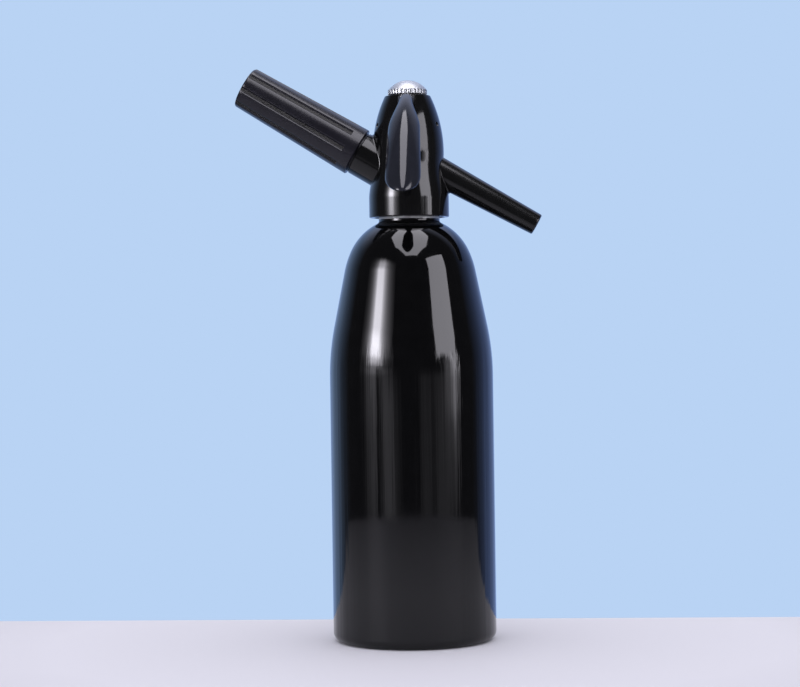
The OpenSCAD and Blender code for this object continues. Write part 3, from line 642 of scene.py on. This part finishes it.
def lever_section(s, around):
    """Cross-section of the paddle at a distance along the ridge."""
    p, n = RIDGE.at(s)
    over = max(0.0, (s - RIDGE.length + LEVER_TIP_L) / LEVER_TIP_L)
    shrink = math.sqrt(max(0.0008, 1 - over ** 2))
    half = LEVER_ROOT_W + (LEVER_MID_W - LEVER_ROOT_W) * float(ease((s - FLARE_START) / FLARE_LEN))
    half += (LEVER_W - LEVER_MID_W) * min(1.0, max(0.0, (s - SPREAD_START) / SPREAD_LEN))
    half *= shrink / 2
    thick = (LEVER_ROOT_T + (LEVER_T - LEVER_ROOT_T) * float(ease(s / 8.0))) * shrink
    edge_round = EDGE_ROUND * shrink ** 2
    edge = roof(half) + edge_round
    flat = min(1.0, thick * EDGE_SHARE / edge)
    edge *= flat
    sink = LEVER_T * TIP_SINK * (1 - shrink) ** 2
    c, q = np.cos(around), np.sin(around)
    x = half * np.sign(c) * np.abs(c) ** np.where(q >= 0, 1.0, 0.8)
    upper = flat * (roof(x) + edge_round * (1 - np.sqrt(1 - c ** EDGE_POWER)))
    lower = edge + (thick - edge) * np.maximum(-q, 0) ** 0.8
    depth = sink + np.where(q >= 0, upper, lower)
    return np.stack([x, -(p[0] - depth * n[0]), p[1] - depth * n[1]], axis=1)


def side_plate(name, outline, low, high):
    """Plate with an outline of (forward, height) between two places across the lever."""
    n = len(outline)
    points = [[x, -f, z] for x in (low, high) for f, z in outline]
    faces = [tuple(range(n)), tuple(range(2 * n - 1, n - 1, -1))]
    faces += [(k, n + k, n + (k + 1) % n, (k + 1) % n) for k in range(n)]
    return make_object(name, points, faces)


def build_lever():
    body = np.linspace(0, RIDGE.length - LEVER_TIP_L, 90)
    tip = RIDGE.length - LEVER_TIP_L + LEVER_TIP_L * np.sin(np.linspace(0, 1, 40)[1:] * math.pi / 2)
    rings = [lever_section(s, circle(96)) for s in np.concatenate([body, tip])]
    paddle = ring_object("lever_paddle", capped(rings), sharp=40)
    hinge = np.array([-HINGE_Y, HINGE_Z])
    tower = CROWN_HOLE_R + 0.3
    slot_top = HINGE_Z + 6.2
    web = [hinge + (-1.2, 2.4), (tower, slot_top - 0.5), (tower, RIDGE_Z - 5),
           (RIDGE_Y + 0.3, RIDGE_Z - 1.6), (RIDGE_Y + 7, RIDGE_Z - 7), (RIDGE_Y + 4, HINGE_Z + 2),
           hinge + (1.5, -2.4)]
    half = LEVER_ROOT_W / 2
    root = side_plate("lever_web", web, -half, half)
    cut(root, side_plate("hub", arc(hinge, HUB_R, 0, 360, 48)[:-1], -half, half), "UNION")
    prong = arc((0.0, HINGE_Z), PRONG_R, 90, 270, 16) + [np.array([-HINGE_Y, HINGE_Z - PRONG_R]),
                                                        np.array([-HINGE_Y, HINGE_Z + PRONG_R])]
    inner = STEM_R + PASS_GAP
    for low, high in ((-half, -inner), (inner, half)):
        cut(root, side_plate("prong", prong, low, high), "UNION")
    cut(root, side_plate("pin", arc(hinge, HINGE_PIN_R + 0.05, 0, 360, 48)[:-1], -20, 20))
    root.data.polygons.foreach_set("use_smooth", [True] * len(root.data.polygons))
    root.data.set_sharp_from_angle(angle=math.radians(30))
    for obj in (paddle, root):
        obj.data.materials.append(MATERIALS["lever_moulding"])
    lever = join("lever_moulding", paddle, root)
    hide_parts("lever")
    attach(lever, "lever")


# Charger holder

def build_holder(steps=720):
    a = circle(steps)
    taper = (HOLDER_COLLAR_R - HOLDER_END_R) / (HOLDER_END - HOLDER_START)

    def cone(s):
        return HOLDER_COLLAR_R - (s - HOLDER_START) * taper

    def fluted(s, radius):
        pitch = TURN / FLUTES
        near = (a - math.radians(FLUTE_PHASE) + pitch / 2) % pitch - pitch / 2
        across = np.abs(radius * np.sin(near))
        flank = np.clip((across - FLUTE_FLOOR_W / 2) / (FLUTE_W / 2 - FLUTE_FLOOR_W / 2), 0, 1.4)
        foot = np.clip((s - HOLDER_START - HOLDER_COLLAR_L + 0.1) / 0.2, 0, 1)
        groove = (cone(s) - FLUTE_D * (1 - flank)) / np.cos(near)
        gap = (radius - groove) * foot
        soft = (gap + np.sqrt(gap ** 2 + 4 * FLUTE_ROUND ** 2 * foot)) / 2
        return radius - np.where(flank < 1.4, soft, 0.0)

    def ring(radius, s):
        radius = np.broadcast_to(radius, steps)
        return ARM.place(np.stack([radius * np.cos(a), radius * np.sin(a), np.full(steps, s)], axis=1))

    flute_start = HOLDER_START + HOLDER_COLLAR_L
    straight_end = HOLDER_END - HOLDER_ROUND
    stations = np.concatenate([np.linspace(HOLDER_START + HOLDER_CHAMFER, flute_start - 0.2, 6),
                               np.linspace(flute_start - 0.1, flute_start + 0.1, 3),
                               np.linspace(flute_start + 0.5, straight_end, 40)])
    rings = [ring(HOLDER_COLLAR_R - HOLDER_CHAMFER, HOLDER_START)]
    rings += [ring(fluted(s, cone(s)), s) for s in stations]
    for p in arc((HOLDER_END_R - HOLDER_ROUND, straight_end), HOLDER_ROUND, 0, 90, 8)[1:]:
        rings.append(ring(fluted(p[1], p[0]), p[1]))
    rings += [ring(r, HOLDER_END) for r in (9.0, 6.0, 3.0)]
    rings.append(ARM.place(np.array([[0.0, 0.0, HOLDER_END]])))
    cavity_end = HOLDER_END - HOLDER_END_T
    rings.append(ARM.place(np.array([[0.0, 0.0, cavity_end]])))
    rings += [ring(HOLDER_BORE_R, cavity_end), ring(HOLDER_BORE_R, HOLDER_START + HOLDER_THREAD_L),
              ring(HOLDER_THREAD_R, HOLDER_START + HOLDER_THREAD_L),
              ring(HOLDER_THREAD_R, HOLDER_START + HOLDER_MOUTH_CHAMFER),
              ring(HOLDER_THREAD_R + HOLDER_MOUTH_CHAMFER, HOLDER_START)]
    outer = rings[:-6]
    inner = rings[-6:]
    points = np.vstack(outer + inner)
    faces = ring_faces(outer, False)
    shift = len(np.vstack(outer))
    faces += [tuple(int(v) + shift for v in f) for f in ring_faces(inner, False)]
    last = len(points) - steps
    faces += [(k, (k + 1) % steps, last + (k + 1) % steps, last + k) for k in range(steps)]
    holder = make_object("charger_holder_shell", points, faces, sharp=28)
    holder.data.materials.append(MATERIALS["satin_moulding"])
    holder.data.materials.append(MATERIALS["recess"])
    pitch = TURN / FLUTES
    in_floor = []
    for p in holder.data.polygons:
        rel = np.array(p.center) / MM - ARM.start
        s = rel @ ARM.along
        angle = math.atan2(rel @ ARM.side, rel @ ARM.up) - math.radians(FLUTE_PHASE)
        near = (angle + pitch / 2) % pitch - pitch / 2
        radius = math.hypot(rel @ ARM.side, rel @ ARM.up)
        floor_face = abs(radius * math.sin(near)) < FLUTE_FLOOR_W / 2 and flute_start < s < HOLDER_END - 0.3
        in_floor.append(int(floor_face and radius > HOLDER_THREAD_R + 0.2))
    holder.data.polygons.foreach_set("material_index", in_floor)
    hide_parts("charger_holder")
    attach(holder, "holder")


# Valve cap

def build_cap():
    per_notch = 16
    steps = CAP_NOTCHES * per_notch
    a = circle(steps)
    near = np.abs((a * CAP_NOTCHES / TURN + 0.5) % 1 - 0.5) * 2
    rib = np.clip((1 - near) / (1 - CAP_NOTCH_SHARE), 0, 1)
    scallop = np.where(rib < 1, CAP_RIB_ROUND * (1 - np.sqrt(1 - 0.97 * rib ** 2)), CAP_NOTCH_D)

    def ring(radius, z):
        radius = np.broadcast_to(radius, steps)
        return np.stack([radius * np.cos(a), radius * np.sin(a), np.full(steps, z)], axis=1)

    skirt_top = CAP_Z + CAP_SKIRT_H
    dome_foot = CAP_R - CAP_CHAMFER
    dome_r = (dome_foot ** 2 + CAP_DOME_H ** 2) / (2 * CAP_DOME_H)
    dome_z = CAP_TOP_Z - dome_r
    rings = [np.array([[0.0, 0.0, SPRING_TOP_Z]]), ring(POCKET_R, SPRING_TOP_Z), ring(POCKET_R, PLUG_Z),
             ring(PLUG_R - PLUG_CHAMFER, PLUG_Z), ring(PLUG_R, PLUG_Z + PLUG_CHAMFER), ring(PLUG_R, CAP_Z),
             ring(CAP_R - CAP_CHAMFER - scallop, CAP_Z), ring(CAP_R - scallop, CAP_Z + CAP_CHAMFER)]
    for z in np.linspace(CAP_Z + CAP_CHAMFER, skirt_top - 0.6, 6)[1:]:
        rings.append(ring(CAP_R - scallop, z))
    rings += [ring(CAP_R - scallop * 0.7, skirt_top - 0.4), ring(CAP_R - scallop * 0.2, skirt_top - 0.28)]
    low = math.degrees(math.asin((skirt_top - dome_z) / dome_r))
    rings += [ring(p[0], p[1]) for p in arc((0.0, dome_z), dome_r, low, 90, 24)[:-1]]
    rings.append(np.array([[0.0, 0.0, CAP_TOP_Z]]))
    cap = ring_object("valve_cap_knob", rings, sharp=35)
    cap.data.materials.append(MATERIALS["chrome"])
    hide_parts("valve_cap")
    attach(cap, "cap")


# Valve spring

def build_spring(seg=48, around=16):
    n = seg * SPRING_TURNS + 1
    a = np.arange(n) * TURN / seg
    low, high = SPRING_LOW_Z + SPRING_WIRE / 2, SPRING_TOP_Z - SPRING_WIRE / 2
    z = low + (high - low) * np.arange(n) / (n - 1)
    slope = math.atan((high - low) / (SPRING_TURNS * TURN * SPRING_R))
    rings = []
    for angle, height in zip(a, z):
        f = circle(around)
        u, v = SPRING_WIRE / 2 * np.cos(f), SPRING_WIRE / 2 * np.sin(f)
        r, t = SPRING_R + u, v * math.sin(slope)
        rings.append(np.stack([r * math.cos(angle) + t * math.sin(angle),
                               r * math.sin(angle) - t * math.cos(angle),
                               height + v * math.cos(slope)], axis=1))
    spring = ring_object("valve_spring_coil", capped(rings), sharp=50)
    spring.data.materials.append(MATERIALS["steel"])
    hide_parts("valve_spring")
    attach(spring, "head")
    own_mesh(spring)


# Materials

GLOSS_LEVEL = 0.36


class Finish:
    """A material with its node tree, its main shader and its object coordinates."""

    def __init__(self, name, metallic=0.0):
        self.material = bpy.data.materials.new(name)
        self.material.use_nodes = True
        self.tree = self.material.node_tree
        self.shader = self.tree.nodes["Principled BSDF"]
        self.shader.inputs["Metallic"].default_value = metallic
        self.place = self.tree.nodes.new("ShaderNodeTexCoord").outputs["Object"]

    def link(self, out, to):
        self.tree.links.new(out, to)

    def noise(self, size_mm, detail=4.0, roughness=0.55, stretch=(1, 1, 1)):
        """Noise whose features are about this size."""
        mapping = self.tree.nodes.new("ShaderNodeMapping")
        mapping.inputs["Scale"].default_value = stretch
        self.link(self.place, mapping.inputs["Vector"])
        node = self.tree.nodes.new("ShaderNodeTexNoise")
        node.inputs["Scale"].default_value = 1000.0 / size_mm
        node.inputs["Detail"].default_value = detail
        node.inputs["Roughness"].default_value = roughness
        self.link(mapping.outputs["Vector"], node.inputs["Vector"])
        return node.outputs["Fac"]

    def ramp(self, value, stops):
        """Colour ramp over a value, stops of (place, colour)."""
        node = self.tree.nodes.new("ShaderNodeValToRGB")
        elements = node.color_ramp.elements
        for element, (place, colour) in zip(elements, (stops[0], stops[-1])):
            element.position = place
            element.color = (*colour, 1)
        for place, colour in stops[1:-1]:
            elements.new(place).color = (*colour, 1)
        self.link(value, node.inputs["Fac"])
        return node.outputs["Color"]

    def spread(self, value, low, high, start=0.3, end=0.7):
        """A value mapped to a range."""
        node = self.tree.nodes.new("ShaderNodeMapRange")
        for name, number in (("From Min", start), ("From Max", end), ("To Min", low), ("To Max", high)):
            node.inputs[name].default_value = number
        self.link(value, node.inputs["Value"])
        return node.outputs["Result"]

    def maths(self, operation, first, second):
        """Two values, or a value and a number, put together."""
        node = self.tree.nodes.new("ShaderNodeMath")
        node.operation = operation
        self.link(first, node.inputs[0])
        if isinstance(second, float):
            node.inputs[1].default_value = second
        else:
            self.link(second, node.inputs[1])
        return node.outputs["Value"]

    def bump(self, height, depth_mm, strength=1.0):
        node = self.tree.nodes.new("ShaderNodeBump")
        node.inputs["Strength"].default_value = strength
        node.inputs["Distance"].default_value = depth_mm * MM
        self.link(height, node.inputs["Height"])
        self.link(node.outputs["Normal"], self.shader.inputs["Normal"])

    def lacquer(self):
        self.shader.inputs["Specular IOR Level"].default_value = GLOSS_LEVEL

    def colour(self, value, stops):
        self.link(self.ramp(value, stops), self.shader.inputs["Base Color"])

    def rough(self, value, low, high, start=0.3, end=0.7):
        self.link(self.spread(value, low, high, start, end), self.shader.inputs["Roughness"])


def coating(name, dark, light, rough, grain_mm, depth_mm):
    """Painted or moulded surface: mottled tone, smudged gloss and a fine skin texture."""
    finish = Finish(name)
    finish.lacquer()
    finish.colour(finish.noise(9.0, 5.0), [(0.3, dark), (0.7, light)])
    finish.rough(finish.noise(22.0, 6.0, 0.65), rough[0], rough[1])
    finish.bump(finish.noise(grain_mm, 3.0), depth_mm)
    return finish.material


def drawn_enamel(name, dark, light, rough, depth_mm):
    """Gloss paint over drawn metal, whose upright draw lines show through below the shoulder."""
    finish = Finish(name)
    finish.lacquer()
    finish.colour(finish.noise(9.0, 5.0), [(0.3, dark), (0.7, light)])
    finish.rough(finish.noise(22.0, 6.0, 0.65), rough[0], rough[1])
    split = finish.tree.nodes.new("ShaderNodeSeparateXYZ")
    finish.link(finish.place, split.inputs["Vector"])
    drawn = finish.spread(split.outputs["Z"], 1.0, 0.0, (DRAW_TOP - DRAW_FADE) * MM, DRAW_TOP * MM)
    lines = finish.noise(DRAW_LINE_MM, 5.0, 0.55, (1, 1, 0.012))
    finish.bump(finish.maths("MULTIPLY", lines, drawn), depth_mm)
    return finish.material


def metal(name, dark, light, rough, lines=(1, 1, 14), grain_mm=2.5, depth_mm=0.004):
    """Bare or plated metal with fine tool lines."""
    finish = Finish(name, 1.0)
    finish.colour(finish.noise(6.0, 5.0), [(0.3, dark), (0.7, light)])
    streak = finish.noise(grain_mm, 4.0, 0.6, lines)
    finish.rough(streak, rough[0], rough[1])
    finish.bump(streak, depth_mm)
    return finish.material


DRAW_TOP = 166.0
DRAW_FADE = 14.0
DRAW_LINE_MM = 7.0

MATERIALS = {
    "enamel": drawn_enamel("gloss_black_enamel", (0.0012, 0.0012, 0.0015), (0.0022, 0.0022, 0.0026),
                           (0.035, 0.075), 0.3),
    "gloss_moulding": coating("gloss_black_moulding", (0.003, 0.003, 0.0032), (0.005, 0.005, 0.0055),
                              (0.08, 0.13), 1.2, 0.0008),
    "spout_moulding": coating("semi_gloss_black_moulding", (0.003, 0.003, 0.0032),
                              (0.005, 0.005, 0.0055), (0.15, 0.18), 1.2, 0.0004),
    "lever_moulding": coating("lever_black_moulding", (0.013, 0.014, 0.021), (0.017, 0.018, 0.027),
                              (0.08, 0.13), 1.2, 0.0008),
    "satin_moulding": coating("satin_black_moulding", (0.0054, 0.0049, 0.0098),
                              (0.0079, 0.0073, 0.0140), (0.22, 0.29), 0.35, 0.004),
    "recess": coating("matt_black_recess", (0.006, 0.0055, 0.0055), (0.010, 0.0095, 0.0095),
                      (0.62, 0.75), 0.35, 0.01),
    "rubber": coating("black_rubber", (0.010, 0.010, 0.010), (0.022, 0.022, 0.022), (0.5, 0.65), 0.4,
                      0.01),
    "red_rubber": coating("red_rubber", (0.30, 0.035, 0.022), (0.40, 0.055, 0.032), (0.45, 0.6), 0.4,
                          0.01),
    "white_plastic": coating("natural_plastic", (0.70, 0.70, 0.66), (0.80, 0.80, 0.77), (0.3, 0.42),
                             0.5, 0.006),
    "chrome": metal("polished_chrome", (0.37, 0.38, 0.395), (0.42, 0.43, 0.445), (0.43, 0.5),
                    (1, 1, 1), 1.5, 0.0008),
    "bare_metal": metal("turned_aluminium", (0.46, 0.47, 0.48), (0.56, 0.57, 0.58), (0.55, 0.68)),
    "nickel": metal("nickel_plate", (0.16, 0.16, 0.165), (0.24, 0.24, 0.245), (0.3, 0.42)),
    # Dark metal: the charger socket's finish, and also painted shade on the hinge pin, standing in for the
    # shade in its hole
    "dark_metal_and_painted_shade": metal("anodised_black_and_painted_shade", (0.016, 0.016, 0.017), (0.026, 0.026, 0.028), (0.3, 0.45)),
    "brass": metal("turned_brass", (0.62, 0.42, 0.14), (0.74, 0.53, 0.20), (0.2, 0.34)),
    "steel": metal("drawn_steel", (0.52, 0.53, 0.55), (0.64, 0.65, 0.67), (0.2, 0.34), (14, 14, 1)),
    "charger_steel": metal("plated_steel", (0.55, 0.56, 0.57), (0.66, 0.67, 0.69), (0.22, 0.36),
                           (1, 1, 1), 5.0, 0.003),
}

CAD_FINISH = {
    "neck_gasket": "red_rubber", "thread_ring": "bare_metal", "valve_body": "nickel", "seat_nut": "brass",
    "seat_gasket": "rubber", "tube_bush": "rubber", "dip_tube": "white_plastic", "valve_stem": "steel",
    "valve_washer": "rubber", "stem_o_ring": "rubber", "lift_nut": "steel", "cap_o_ring": "rubber",
    # The hinge pin takes the dark metal as painted shade for the shaded hole it sits in
    "hinge_pin": "dark_metal_and_painted_shade", "spout_o_ring": "rubber", "charger_socket": "dark_metal_and_painted_shade",
    "socket_gasket": "rubber", "check_retainer": "brass", "check_valve": "rubber", "piercing_pin": "steel",
    "charger_seal": "rubber", "charger": "charger_steel",
}


def finish_cad_nodes():
    for node, finish in CAD_FINISH.items():
        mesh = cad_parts[node].data
        mesh.materials.clear()
        mesh.materials.append(MATERIALS[finish])


# Camera, in metres and degrees; pixels are those of an 800 by 687 picture
PICTURE_W = 800
PICTURE_H = 687
FOCAL_PX = 2175.0
SENSOR_MM = 36.0
CAMERA_DISTANCE = 1.2
CAMERA_AZIMUTH = 3.4
EYE_HEIGHT = 0.1775
EYE_LEVEL_PX = 318.0
AXIS_PX = 411.0
ROLL = -0.82


def build_camera():
    camera = bpy.data.objects.new("camera", bpy.data.cameras.new("camera"))
    camera.data.sensor_width = SENSOR_MM
    camera.data.lens = SENSOR_MM * FOCAL_PX / PICTURE_W
    camera.data.clip_end = 20.0
    azimuth = math.radians(CAMERA_AZIMUTH)
    place = Vector((CAMERA_DISTANCE * math.sin(azimuth), -CAMERA_DISTANCE * math.cos(azimuth), EYE_HEIGHT))
    yaw = azimuth + math.atan((AXIS_PX - PICTURE_W / 2) / FOCAL_PX)
    pitch = -math.atan((PICTURE_H / 2 - EYE_LEVEL_PX) / FOCAL_PX)
    turn = (Matrix.Rotation(yaw, 4, "Z") @ Matrix.Rotation(math.pi / 2 + pitch, 4, "X")
            @ Matrix.Rotation(math.radians(ROLL), 4, "Z"))
    camera.matrix_world = Matrix.Translation(place) @ turn
    bpy.context.scene.collection.objects.link(camera)
    bpy.context.scene.camera = camera


# Stage: floor, soft light panels and pale surroundings
FLOOR_BACK = 0.08
FLOOR_R = 0.64
FLOOR_SIDES = 256
FLOOR_COLOUR = (0.75, 0.73, 0.825)
# Painted shade: the floor colour darkens to this towards the rim, standing in for light falling off
FLOOR_PAINTED_SHADE = (0.36, 0.35, 0.4)
FLOOR_PAINTED_SHADE_SPAN = (0.2, 0.64)
FLOOR_ROUGHNESS = 0.7
FLOOR_GLOSS = 0.1
FLOOR_MOTTLE_MM = 60.0
FLOOR_UNEVEN = 0.004
WALL_COLOUR = (0.485, 0.651, 0.905)
WALL_LEFT = (0.42, 0.62, 1.0)
WALL_RIGHT = (0.28, 0.41, 0.85)
WALL_HIGH = (1.2, 1.3, 1.75)
WALL_ACROSS = (-0.7, 0.7)
WALL_RISE = (0.45, 0.85)
WALL_START = (0.15, 0.65)
ROOM_COLOUR = (0.07, 0.07, 0.08)
FILL_COLOUR = (0.97, 0.98, 1.0)
FILL_STRENGTH = 1.05
PANEL_AIM = 0.2
PANEL_COLOUR = (0.985, 0.965, 1.06)
STREAK_MM = 90.0
TOP_DISTANCE = 1.4
TOP_WIDTH = 1.325


def build_floor():
    """Round pale table top, cut straight behind the object where the wall begins; its colour darkens towards
    the rim as painted shade for light falling off.
    """
    edge = circle(FLOOR_SIDES)
    outline = np.stack([np.cos(edge), np.minimum(np.sin(edge), FLOOR_BACK / FLOOR_R), 0 * edge], axis=1)
    floor = make_object("floor", outline * FLOOR_R / MM, [tuple(range(FLOOR_SIDES))])
    finish = Finish("pale_floor")
    finish.shader.inputs["Roughness"].default_value = FLOOR_ROUGHNESS
    finish.shader.inputs["Specular IOR Level"].default_value = FLOOR_GLOSS
    away = finish.tree.nodes.new("ShaderNodeVectorMath")
    away.operation = "LENGTH"
    finish.link(finish.place, away.inputs[0])
    uneven = finish.spread(finish.noise(FLOOR_MOTTLE_MM), -FLOOR_UNEVEN, FLOOR_UNEVEN)
    # Painted shade: the colour darkens with distance from the object, between the two distances of the span
    painted_falloff = finish.spread(finish.maths("ADD", away.outputs["Value"], uneven), 0.0, 1.0, *FLOOR_PAINTED_SHADE_SPAN)
    finish.colour(painted_falloff, [(0.0, FLOOR_COLOUR), (1.0, FLOOR_PAINTED_SHADE)])
    floor.data.materials.append(finish.material)


def build_panel(name, azimuths, elevations, distance, strength, across, upward, sides=4, streak=0.0,
                width=None, smooth="B_SPLINE"):
    """Soft light panel round the object, seen in reflections only.

    Azimuths count from the camera's side; across and upward give the brightness from edge to edge.
    """
    az = math.radians(CAMERA_AZIMUTH + sum(azimuths) / 2)
    el = math.radians(sum(elevations) / 2)
    width = width or 2 * distance * math.tan(math.radians(azimuths[1] - azimuths[0]) / 2)
    height = 2 * distance * math.tan(math.radians(elevations[1] - elevations[0]) / 2)
    toward = Vector((math.sin(az) * math.cos(el), -math.cos(az) * math.cos(el), math.sin(el)))
    turn = toward.to_track_quat("Z", "Y").to_matrix().to_4x4()
    outline = [(-1, -1), (1, -1), (1, 1), (-1, 1)]
    if sides > 4:
        outline = [(math.cos(a), math.sin(a)) for a in circle(sides) + math.pi / sides]
    mesh = bpy.data.meshes.new(name)
    mesh.from_pydata([(x * width / 2, y * height / 2, 0) for x, y in outline], [], [tuple(range(sides))])
    panel = bpy.data.objects.new(name, mesh)
    panel.matrix_world = Matrix.Translation(toward * distance + Vector((0, 0, PANEL_AIM))) @ turn
    bpy.context.scene.collection.objects.link(panel)
    panel.visible_camera = False
    panel.visible_diffuse = False
    finish = Finish(name)
    tree = finish.tree
    tree.nodes.remove(finish.shader)
    split = tree.nodes.new("ShaderNodeSeparateXYZ")
    finish.link(finish.place, split.inputs["Vector"])
    side = finish.spread(split.outputs["X"], 0.0, 1.0, -width / 2, width / 2)
    rise = finish.spread(split.outputs["Y"], 0.0, 1.0, -height / 2, height / 2)
    if streak:
        uneven = finish.noise(STREAK_MM, 5.0, 0.6, (1, 0.02, 1))
        rise = finish.maths("ADD", rise, finish.spread(uneven, -streak, streak))
    levels = []
    for place, stops, kind in ((side, across, smooth), (rise, upward, "EASE")):
        colours = finish.ramp(place, [(at, (level, level, level)) for at, level in stops])
        colours.node.color_ramp.interpolation = kind
        levels.append(colours)
    glow = tree.nodes.new("ShaderNodeEmission")
    glow.inputs["Color"].default_value = (*PANEL_COLOUR, 1)
    both = finish.maths("MULTIPLY", levels[0], levels[1])
    finish.link(finish.maths("MULTIPLY", both, strength), glow.inputs["Strength"])
    through = tree.nodes.new("ShaderNodeBsdfTransparent")
    total = tree.nodes.new("ShaderNodeAddShader")
    finish.link(glow.outputs["Emission"], total.inputs[0])
    finish.link(through.outputs["BSDF"], total.inputs[1])
    finish.link(total.outputs["Shader"], tree.nodes["Material Output"].inputs["Surface"])
    panel.data.materials.append(finish.material)


class Surroundings:
    """Node tree of the world."""

    def __init__(self):
        world = bpy.data.worlds.new("surroundings")
        bpy.context.scene.world = world
        world.use_nodes = True
        self.tree = world.node_tree
        self.tree.nodes.remove(self.tree.nodes["Background"])
        place = self.tree.nodes.new("ShaderNodeTexCoord")
        self.split = self.tree.nodes.new("ShaderNodeSeparateXYZ")
        self.tree.links.new(place.outputs["Generated"], self.split.inputs["Vector"])

    def plain(self, colour, strength=1.0):
        node = self.tree.nodes.new("ShaderNodeBackground")
        node.inputs["Color"].default_value = (*colour, 1)
        node.inputs["Strength"].default_value = strength
        return node.outputs["Background"]

    def mix(self, share, first, second):
        node = self.tree.nodes.new("ShaderNodeMixShader")
        self.tree.links.new(share, node.inputs["Fac"])
        self.tree.links.new(first, node.inputs[1])
        self.tree.links.new(second, node.inputs[2])
        return node.outputs["Shader"]

    def across(self, axis, start, end):
        node = self.tree.nodes.new("ShaderNodeMapRange")
        node.inputs["From Min"].default_value = start
        node.inputs["From Max"].default_value = end
        self.tree.links.new(self.split.outputs[axis], node.inputs["Value"])
        return node.outputs["Result"]


def build_surroundings():
    """Pale wall for the camera, the same wall and a dim room in reflections, even fill elsewhere."""
    world = Surroundings()
    path = world.tree.nodes.new("ShaderNodeLightPath").outputs
    seen = world.tree.nodes.new("ShaderNodeMath")
    seen.operation = "MAXIMUM"
    world.tree.links.new(path["Is Glossy Ray"], seen.inputs[0])
    world.tree.links.new(path["Is Transmission Ray"], seen.inputs[1])
    wall = world.mix(world.across("X", *WALL_ACROSS), world.plain(WALL_LEFT), world.plain(WALL_RIGHT))
    wall = world.mix(world.across("Z", *WALL_RISE), wall, world.plain(WALL_HIGH))
    mirrored = world.mix(world.across("Y", *WALL_START), world.plain(ROOM_COLOUR), wall)
    shown = world.mix(seen.outputs["Value"], world.plain(FILL_COLOUR, FILL_STRENGTH), mirrored)
    everything = world.mix(path["Is Camera Ray"], shown, world.plain(WALL_COLOUR))
    world.tree.links.new(everything, world.tree.nodes["World Output"].inputs["Surface"])


def build_stage():
    build_floor()
    build_panel("left_panel", (-76, -28), (-4, 36), 1.25, 30.0,
                ((0, 0), (0.21, 0.03), (0.35, 0.35), (0.435, 1.45), (0.555, 1.3), (0.67, 0.27), (0.82, 0.08),
                 (1, 0)),
                ((0, 0), (0.1, 0.02), (0.16, 0.1), (0.23, 0.45), (0.31, 1), (0.4, 1.08), (0.57, 0.78),
                 (0.76, 0.36), (1, 0)), streak=0.03)
    build_panel("left_stand", (-76, -26), (-16, 8), 1.3, 2.3,
                ((0, 0), (0.12, 0.12), (0.3, 0.5), (0.47, 1), (0.52, 0.02), (0.6, 0.02), (0.65, 0.5),
                 (0.78, 0.35), (0.9, 0.12), (1, 0)),
                ((0, 0.1), (0.3, 0.35), (0.54, 0.75), (0.65, 1.3), (0.75, 0.8), (0.87, 0.25), (1, 0)),
                streak=0.06, smooth="EASE")
    build_panel("right_panel", (35, 66), (0, 37.5), 1.25, 6.0, ((0, 0.93), (1, 1.15)),
                ((0, 0), (0.16, 0), (0.21, 1), (1, 1)), streak=0.11)
    build_panel("right_stand", (45, 67.5), (-14, 11), 1.2, 7.5,
                ((0, 0.05), (0.25, 0.2), (0.45, 0.35), (0.65, 1), (1, 1)),
                ((0, 0), (0.18, 0.09), (0.27, 0.15), (0.35, 0.5), (0.48, 0.72), (0.62, 0.9), (0.72, 0.9),
                 (0.9, 0)), streak=0.06)
    build_panel("left_trail", (-40, -12), (-14, 3), 1.3, 0.75,
                ((0, 0.2), (0.2, 0.8), (0.35, 1), (0.5, 0.5), (0.65, 0.25), (1, 0)),
                ((0, 1), (0.5, 1), (0.6, 0.5), (0.7, 0.3), (1, 0)), streak=0.06, smooth="EASE")
    build_panel("right_trail", (8, 56), (-14, 3), 1.3, 0.4,
                ((0, 0), (0.07, 0.3), (0.26, 0.75), (0.42, 0.3), (0.6, 0.95), (0.78, 0.95), (0.9, 0.9),
                 (1, 0.3)),
                ((0, 1), (0.55, 1), (0.66, 0.7), (0.8, 0.15), (1, 0)), streak=0.12, smooth="EASE")
    build_panel("top_panel", (2.4, 4.4), (40, 106), TOP_DISTANCE, 5.7, ((0, 1), (1, 1)), ((0, 1), (1, 1)),
                sides=8, width=TOP_WIDTH)
    build_surroundings()
    bpy.context.scene.view_settings.view_transform = "Standard"


build_bottle()
build_head()
build_spout()
build_lever()
build_holder()
build_cap()
build_spring()
finish_cad_nodes()
build_camera()
build_stage()
